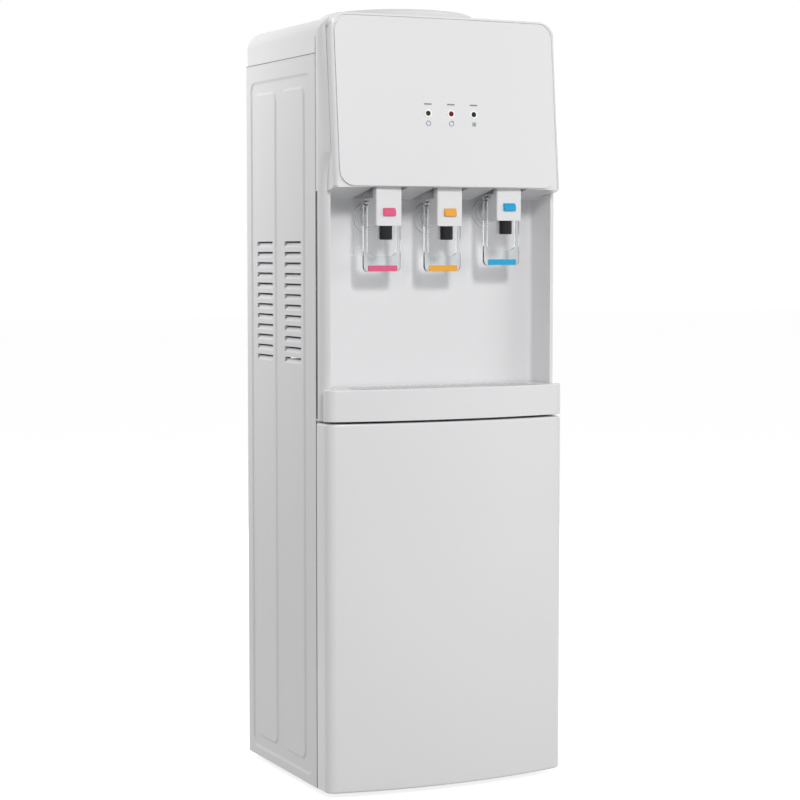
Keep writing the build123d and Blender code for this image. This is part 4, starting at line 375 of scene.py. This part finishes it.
def dress(name, crease=moulded_crease, radius=None):
    """Welded, smooth copy of a CAD node that replaces it."""
    original = nodes[name]
    mesh = original.data.copy()
    mesh.name = name + "_skin"
    mesh.materials.clear()
    mesh.materials.append(finishes[slot_of[name]])
    shape = bmesh.new()
    shape.from_mesh(mesh)
    bmesh.ops.remove_doubles(shape, verts=shape.verts, dist=weld_distance)
    bmesh.ops.dissolve_limit(
        shape, angle_limit=flat_within, verts=shape.verts, edges=shape.edges, use_dissolve_boundaries=False
    )
    for face in shape.faces:
        face.smooth = True
        face.material_index = 0
    shape.to_mesh(mesh)
    shape.free()
    mesh.set_sharp_from_angle(angle=math.radians(crease))
    piece = bpy.data.objects.new(name + "_skin", mesh)
    scene.collection.objects.link(piece)
    width = edge_radius.get(slot_of[name], 0.0) if radius is None else radius
    if width > 0:
        bevel = piece.modifiers.new("edge radius", "BEVEL")
        bevel.width = width
        bevel.segments = 2
        bevel.profile = 0.5
        bevel.limit_method = "ANGLE"
        bevel.angle_limit = math.radians(crease)
        bevel.use_clamp_overlap = True
    # normals follow the large faces, so a shallow pressing keeps its crisp lines
    even = piece.modifiers.new("even faces", "WEIGHTED_NORMAL")
    even.mode = "FACE_AREA"
    even.weight = 60
    even.keep_sharp = True
    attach(piece, original["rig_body"])
    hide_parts(name)
    return piece


# the slopes of a pressing turn by less than a moulded curve's crease, so sheet steel has its own
sheet_crease = 12.0
pressed = ("left_side_panel", "right_side_panel", "rear_panel")
reshaped = ("head_panel", "head_hood", "top_lid")
pieces = {}
for name in sorted(nodes):
    if name not in reshaped:
        pieces[name] = dress(name, sheet_crease if name in pressed else moulded_crease)
print("dressed", len(pieces))

# %% [markdown]
# ## The head
# The face of the head is one large moulding with rounded edges that runs down to the foot of the hood,
# so the recess ceiling starts right under it. The CAD panel is lengthened along its lean, which keeps
# its bow and its corner curves. A swollen copy of it then cuts the pocket in the hood, and that leaves
# an even groove all round.

# %% Longer face panel
head_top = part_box("head_hood")[1][2]
head_bottom = 0.830
lean = 0.0955
# the lights' bores lie closer to the middle than this, so they stay round
still_half = 0.06


def lengthened(mesh, up, down):
    """Moves the upper and lower ends of a leaning mesh apart along its lean."""
    shape = bmesh.new()
    shape.from_mesh(mesh)
    middle = (head_top + head_bottom) / 2
    for half, step in ((1, up), (-1, -down)):
        verts = [v for v in shape.verts if half * (v.co.z - middle) > still_half]
        bmesh.ops.translate(shape, verts=verts, vec=(0, step * lean, step))
    shape.to_mesh(mesh)
    shape.free()


panel = dress("head_panel", radius=0.0015)
panel_low = min(v.co.z for v in panel.data.vertices)
panel_rise = 0.0022
foot_gap = 0.0004
lengthened(panel.data, panel_rise, panel_low - head_bottom - foot_gap)
panel.modifiers["edge radius"].segments = 4
heights = [v.co.z for v in panel.data.vertices]
print("panel runs from", round(min(heights), 4), "up to", round(max(heights), 4))

# %% [markdown]
# ## The pocket
# The cutter is the panel again: wider and higher by the groove, longer at the foot so that it leaves
# the hood there, and pulled forward so that it takes everything in front of the pocket's floor. The
# boolean's result is kept as the hood's mesh, so the cutter can leave the scene.

# %% Pocket in the hood
groove = 0.0028
foot_overrun = 0.030
floor_sink = 0.0005
forward_reach = 0.012
top_band = 0.06
cutter_mesh = panel.data.copy()
lengthened(cutter_mesh, 0.0, foot_overrun)
shape = bmesh.new()
shape.from_mesh(cutter_mesh)
wide = max(v.co.x for v in shape.verts)
bmesh.ops.scale(shape, verts=shape.verts, vec=((wide + groove) / wide, 1, 1))
fronts = [v for v in shape.verts if v.normal.y < -0.3]
bmesh.ops.translate(shape, verts=shape.verts, vec=(0, floor_sink, 0))
bmesh.ops.translate(shape, verts=fronts, vec=(0, -forward_reach, 0))
tops = [v for v in shape.verts if v.co.z > head_top - top_band]
bmesh.ops.translate(shape, verts=tops, vec=(0, groove * lean, groove))
bmesh.ops.recalc_face_normals(shape, faces=shape.faces)
shape.to_mesh(cutter_mesh)
shape.free()
cutter = bpy.data.objects.new("pocket_cutter", cutter_mesh)
scene.collection.objects.link(cutter)
hood = dress("head_hood")
pocket = hood.modifiers.new("pocket", "BOOLEAN")
pocket.object = cutter
pocket.operation = "DIFFERENCE"
pocket.solver = "EXACT"
hood.modifiers.move(len(hood.modifiers) - 1, 0)
depsgraph = bpy.context.evaluated_depsgraph_get()
cut_mesh = bpy.data.meshes.new_from_object(hood.evaluated_get(depsgraph))
hood.modifiers.clear()
hood.data = cut_mesh
bpy.data.objects.remove(cutter)
pieces["head_panel"], pieces["head_hood"] = panel, hood
print("hood faces after the cut", len(cut_mesh.polygons))

# %% [markdown]
# ## Bowed door and tray
# Door and drip tray share one bowed front whose corners roll back into the sides. The copies are drawn
# back a little more towards their corners, by the square of the distance from the middle, so the front
# stays one smooth curve and the right edge turns away from the camera as it does on the real one.
# Behind a fixed line nothing moves, so the bores of the hinge pins stay round.

# %% Rolled corners
door_low, door_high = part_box("door_panel")
half_front = door_high[0]
front_line = door_low[1]
roll = 0.006
full_roll_share = 1.6
flat_line = -0.118
for name in ("door_panel", "drip_tray"):
    moved = 0
    for vertex in pieces[name].data.vertices:
        if vertex.co.y < flat_line:
            share = (flat_line - vertex.co.y) / (flat_line - front_line)
            vertex.co.y += roll * min(1.0, full_roll_share * share) * (vertex.co.x / half_front) ** 2
            moved += 1
    print(name, "points moved", moved)

# %% [markdown]
# ## The lid
# The lid over the reservoir is a shallow disc whose brim only just covers the opening. So the copy is
# drawn in about its own axis and down towards the cover, and its spigot below stays as it is.

# %% Lower and narrower brim
lid = dress("top_lid", radius=0.0008)
low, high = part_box("top_lid")
cover_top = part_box("top_cover")[1][2]
axis = Vector(((low[0] + high[0]) / 2, (low[1] + high[1]) / 2, 0))
narrowed = 0.90
lowered = 0.48
brim = [v for v in lid.data.vertices if v.co.z > cover_top - 0.0001]
for vertex in brim:
    vertex.co.x = axis.x + (vertex.co.x - axis.x) * narrowed
    vertex.co.y = axis.y + (vertex.co.y - axis.y) * narrowed
    vertex.co.z = cover_top + (vertex.co.z - cover_top) * lowered
pieces["top_lid"] = lid
print("brim radius", round(max((v.co - axis).xy.length for v in brim), 4))

# %% [markdown]
# ## Painted shade in the seams between the shells
# The cover, the side panels and the front frame are separate mouldings and sheets, and the narrow gaps
# where they meet lie in shade. That shade is painted: each gap gets a thin dark strip along the joint,
# made from a cube scaled to the joint's length that stands a hair proud of the shells.
# Below the head the upright one is finer.

# %% Seam strips
def strip(shape, low_corner, high_corner):
    """Adds a closed box between two corners to a bmesh."""
    low_corner, high_corner = Vector(low_corner), Vector(high_corner)
    made = bmesh.ops.create_cube(shape, size=1.0)["verts"]
    bmesh.ops.scale(shape, verts=made, vec=high_corner - low_corner)
    bmesh.ops.translate(shape, verts=made, vec=(low_corner + high_corner) / 2)


def new_piece(name, shape, slot):
    """Turns a bmesh into a piece of the cabinet with a finish."""
    bmesh.ops.recalc_face_normals(shape, faces=shape.faces)
    mesh = bpy.data.meshes.new(name)
    shape.to_mesh(mesh)
    shape.free()
    mesh.materials.append(finishes[slot])
    piece = bpy.data.objects.new(name, mesh)
    scene.collection.objects.link(piece)
    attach(piece, "cabinet")
    return piece


panel_front, panel_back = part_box("left_side_panel")[0][1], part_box("left_side_panel")[1][1]
panel_foot, panel_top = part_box("left_side_panel")[0][2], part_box("left_side_panel")[1][2]
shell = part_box("top_cover")[1][0]
proud = 0.00025
gap = 0.0009
margin = 0.001
foot_margin = 0.002
column_top = 0.826
cheek_top = 1.030
# the dark strips are painted shade, standing in for the shadow inside the gaps between the shells
shape = bmesh.new()
for side in (-1, 1):
    near, far = sorted((side * (shell - margin), side * (shell + proud)))
    strip(shape, (near, panel_front, panel_top - gap / 2), (far, panel_back - margin, panel_top + gap / 2))
    for bottom, top, wide in ((panel_foot + foot_margin, column_top, gap / 2), (column_top, cheek_top, gap)):
        strip(shape, (near, panel_front - wide / 2, bottom), (far, panel_front + wide / 2, top))
seam_shade_strips = new_piece("painted_seam_shade", shape, "seam_shadow")
print("seam strips", len(seam_shade_strips.data.polygons) // 6)

# %% [markdown]
# ## Lip behind the hood
# The hood rises a little above the frame, and from behind its hollow would show as a dark slot. The
# moulding has a thin return lip there, made as a narrow strip between the frame and the hood's roof.

# %% Hood lip
hood_low, hood_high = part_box("head_hood")
frame_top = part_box("front_frame")[1][2]
roof = 0.0027
corner = 0.0150
lip_front, lip_back = hood_high[1] - 0.0025, hood_high[1] - 0.0004
lip_foot, lip_top = frame_top + 0.0001, hood_high[2] - roof
shape = bmesh.new()
strip(shape, (hood_low[0] + corner, lip_front, lip_foot), (hood_high[0] - corner, lip_back, lip_top))
new_piece("hood_lip", shape, "white_satin")
print("hood lip is", round(lip_top - lip_foot, 4), "m high")

# %% [markdown]
# ## Marks on the face
# Each indicator light sits in a pale ring. The face carries no words here: a short dash stands above
# each light and a plain mark below it, as thin plates laid on the leaning surface. They could be drawn
# in the finish, but real plates keep sharp edges in every view.

# %% Flat shapes for the marks
print_thickness = 0.0003
# from a lens's front back to the face, which leaves the plates just clear of it
lens_proud = 0.00085


def ring(outer, width):
    """Bmesh of a thin flat ring at the origin."""
    shape = bmesh.new()
    made = bmesh.ops.create_circle(shape, cap_ends=True, segments=48, radius=outer)["verts"]
    face = made[0].link_faces[0]
    bmesh.ops.inset_region(shape, faces=[face], thickness=width, use_boundary=True, use_even_offset=True)
    middle = min(shape.faces, key=lambda f: f.calc_center_median().length)
    bmesh.ops.delete(shape, geom=[middle], context="FACES")
    return shape


def plate(half_wide, half_high):
    """Bmesh of a thin flat rectangle at the origin."""
    shape = bmesh.new()
    bmesh.ops.create_grid(shape, x_segments=1, y_segments=1, size=1.0)
    bmesh.ops.scale(shape, verts=shape.verts, vec=(half_wide, half_high, 1))
    return shape


def lay(flat, place, gathered):
    """Thickens a flat bmesh, carries it on to the leaning face and adds it to the gathered ones."""
    grown = bmesh.ops.extrude_face_region(flat, geom=flat.faces[:])["geom"]
    raised = [g for g in grown if isinstance(g, bmesh.types.BMVert)]
    bmesh.ops.translate(flat, verts=raised, vec=(0, 0, print_thickness))
    tilt = Matrix.Rotation(math.radians(90) - math.atan(lean), 4, "X")
    bmesh.ops.transform(flat, matrix=Matrix.Translation(place) @ tilt, verts=flat.verts)
    carrier = bpy.data.meshes.new("carrier")
    flat.to_mesh(carrier)
    flat.free()
    gathered.from_mesh(carrier)
    bpy.data.meshes.remove(carrier)


def on_face(light, drop, aside=0.0):
    """Place on the leaning face at a drop below a light."""
    low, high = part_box(light)
    centre = Vector(((low[0] + high[0]) / 2, low[1] + lens_proud, (low[2] + high[2]) / 2))
    return centre + Vector((aside, -drop * lean, -drop))


print("printed plates are", print_thickness, "m thick")

# %% Light rings and marks
dash_rise = 0.0125
mark_drop = 0.0135
dot_pitch = 0.0019
rings, marks = bmesh.new(), bmesh.new()
for light in ("power_light", "hot_light", "cold_light"):
    lay(ring(0.0056, 0.0021), on_face(light, 0), rings)
    lay(plate(0.0056, 0.0009), on_face(light, -dash_rise), marks)
    if light != "cold_light":
        lay(ring(0.0036, 0.0008), on_face(light, mark_drop), marks)
    if light == "hot_light":
        lay(plate(0.0008, 0.0010), on_face(light, mark_drop - 0.0030, 0.0022), marks)
    if light == "cold_light":
        for column in (-1, 0, 1):
            for row in (-1, 0, 1):
                drop = mark_drop + row * dot_pitch
                lay(plate(0.0007, 0.0007), on_face(light, drop, column * dot_pitch), marks)
new_piece("light_rings", rings, "pale_ring")
face_marks = new_piece("face_marks", marks, "print_grey")
print("marks", len(face_marks.data.polygons), "faces")
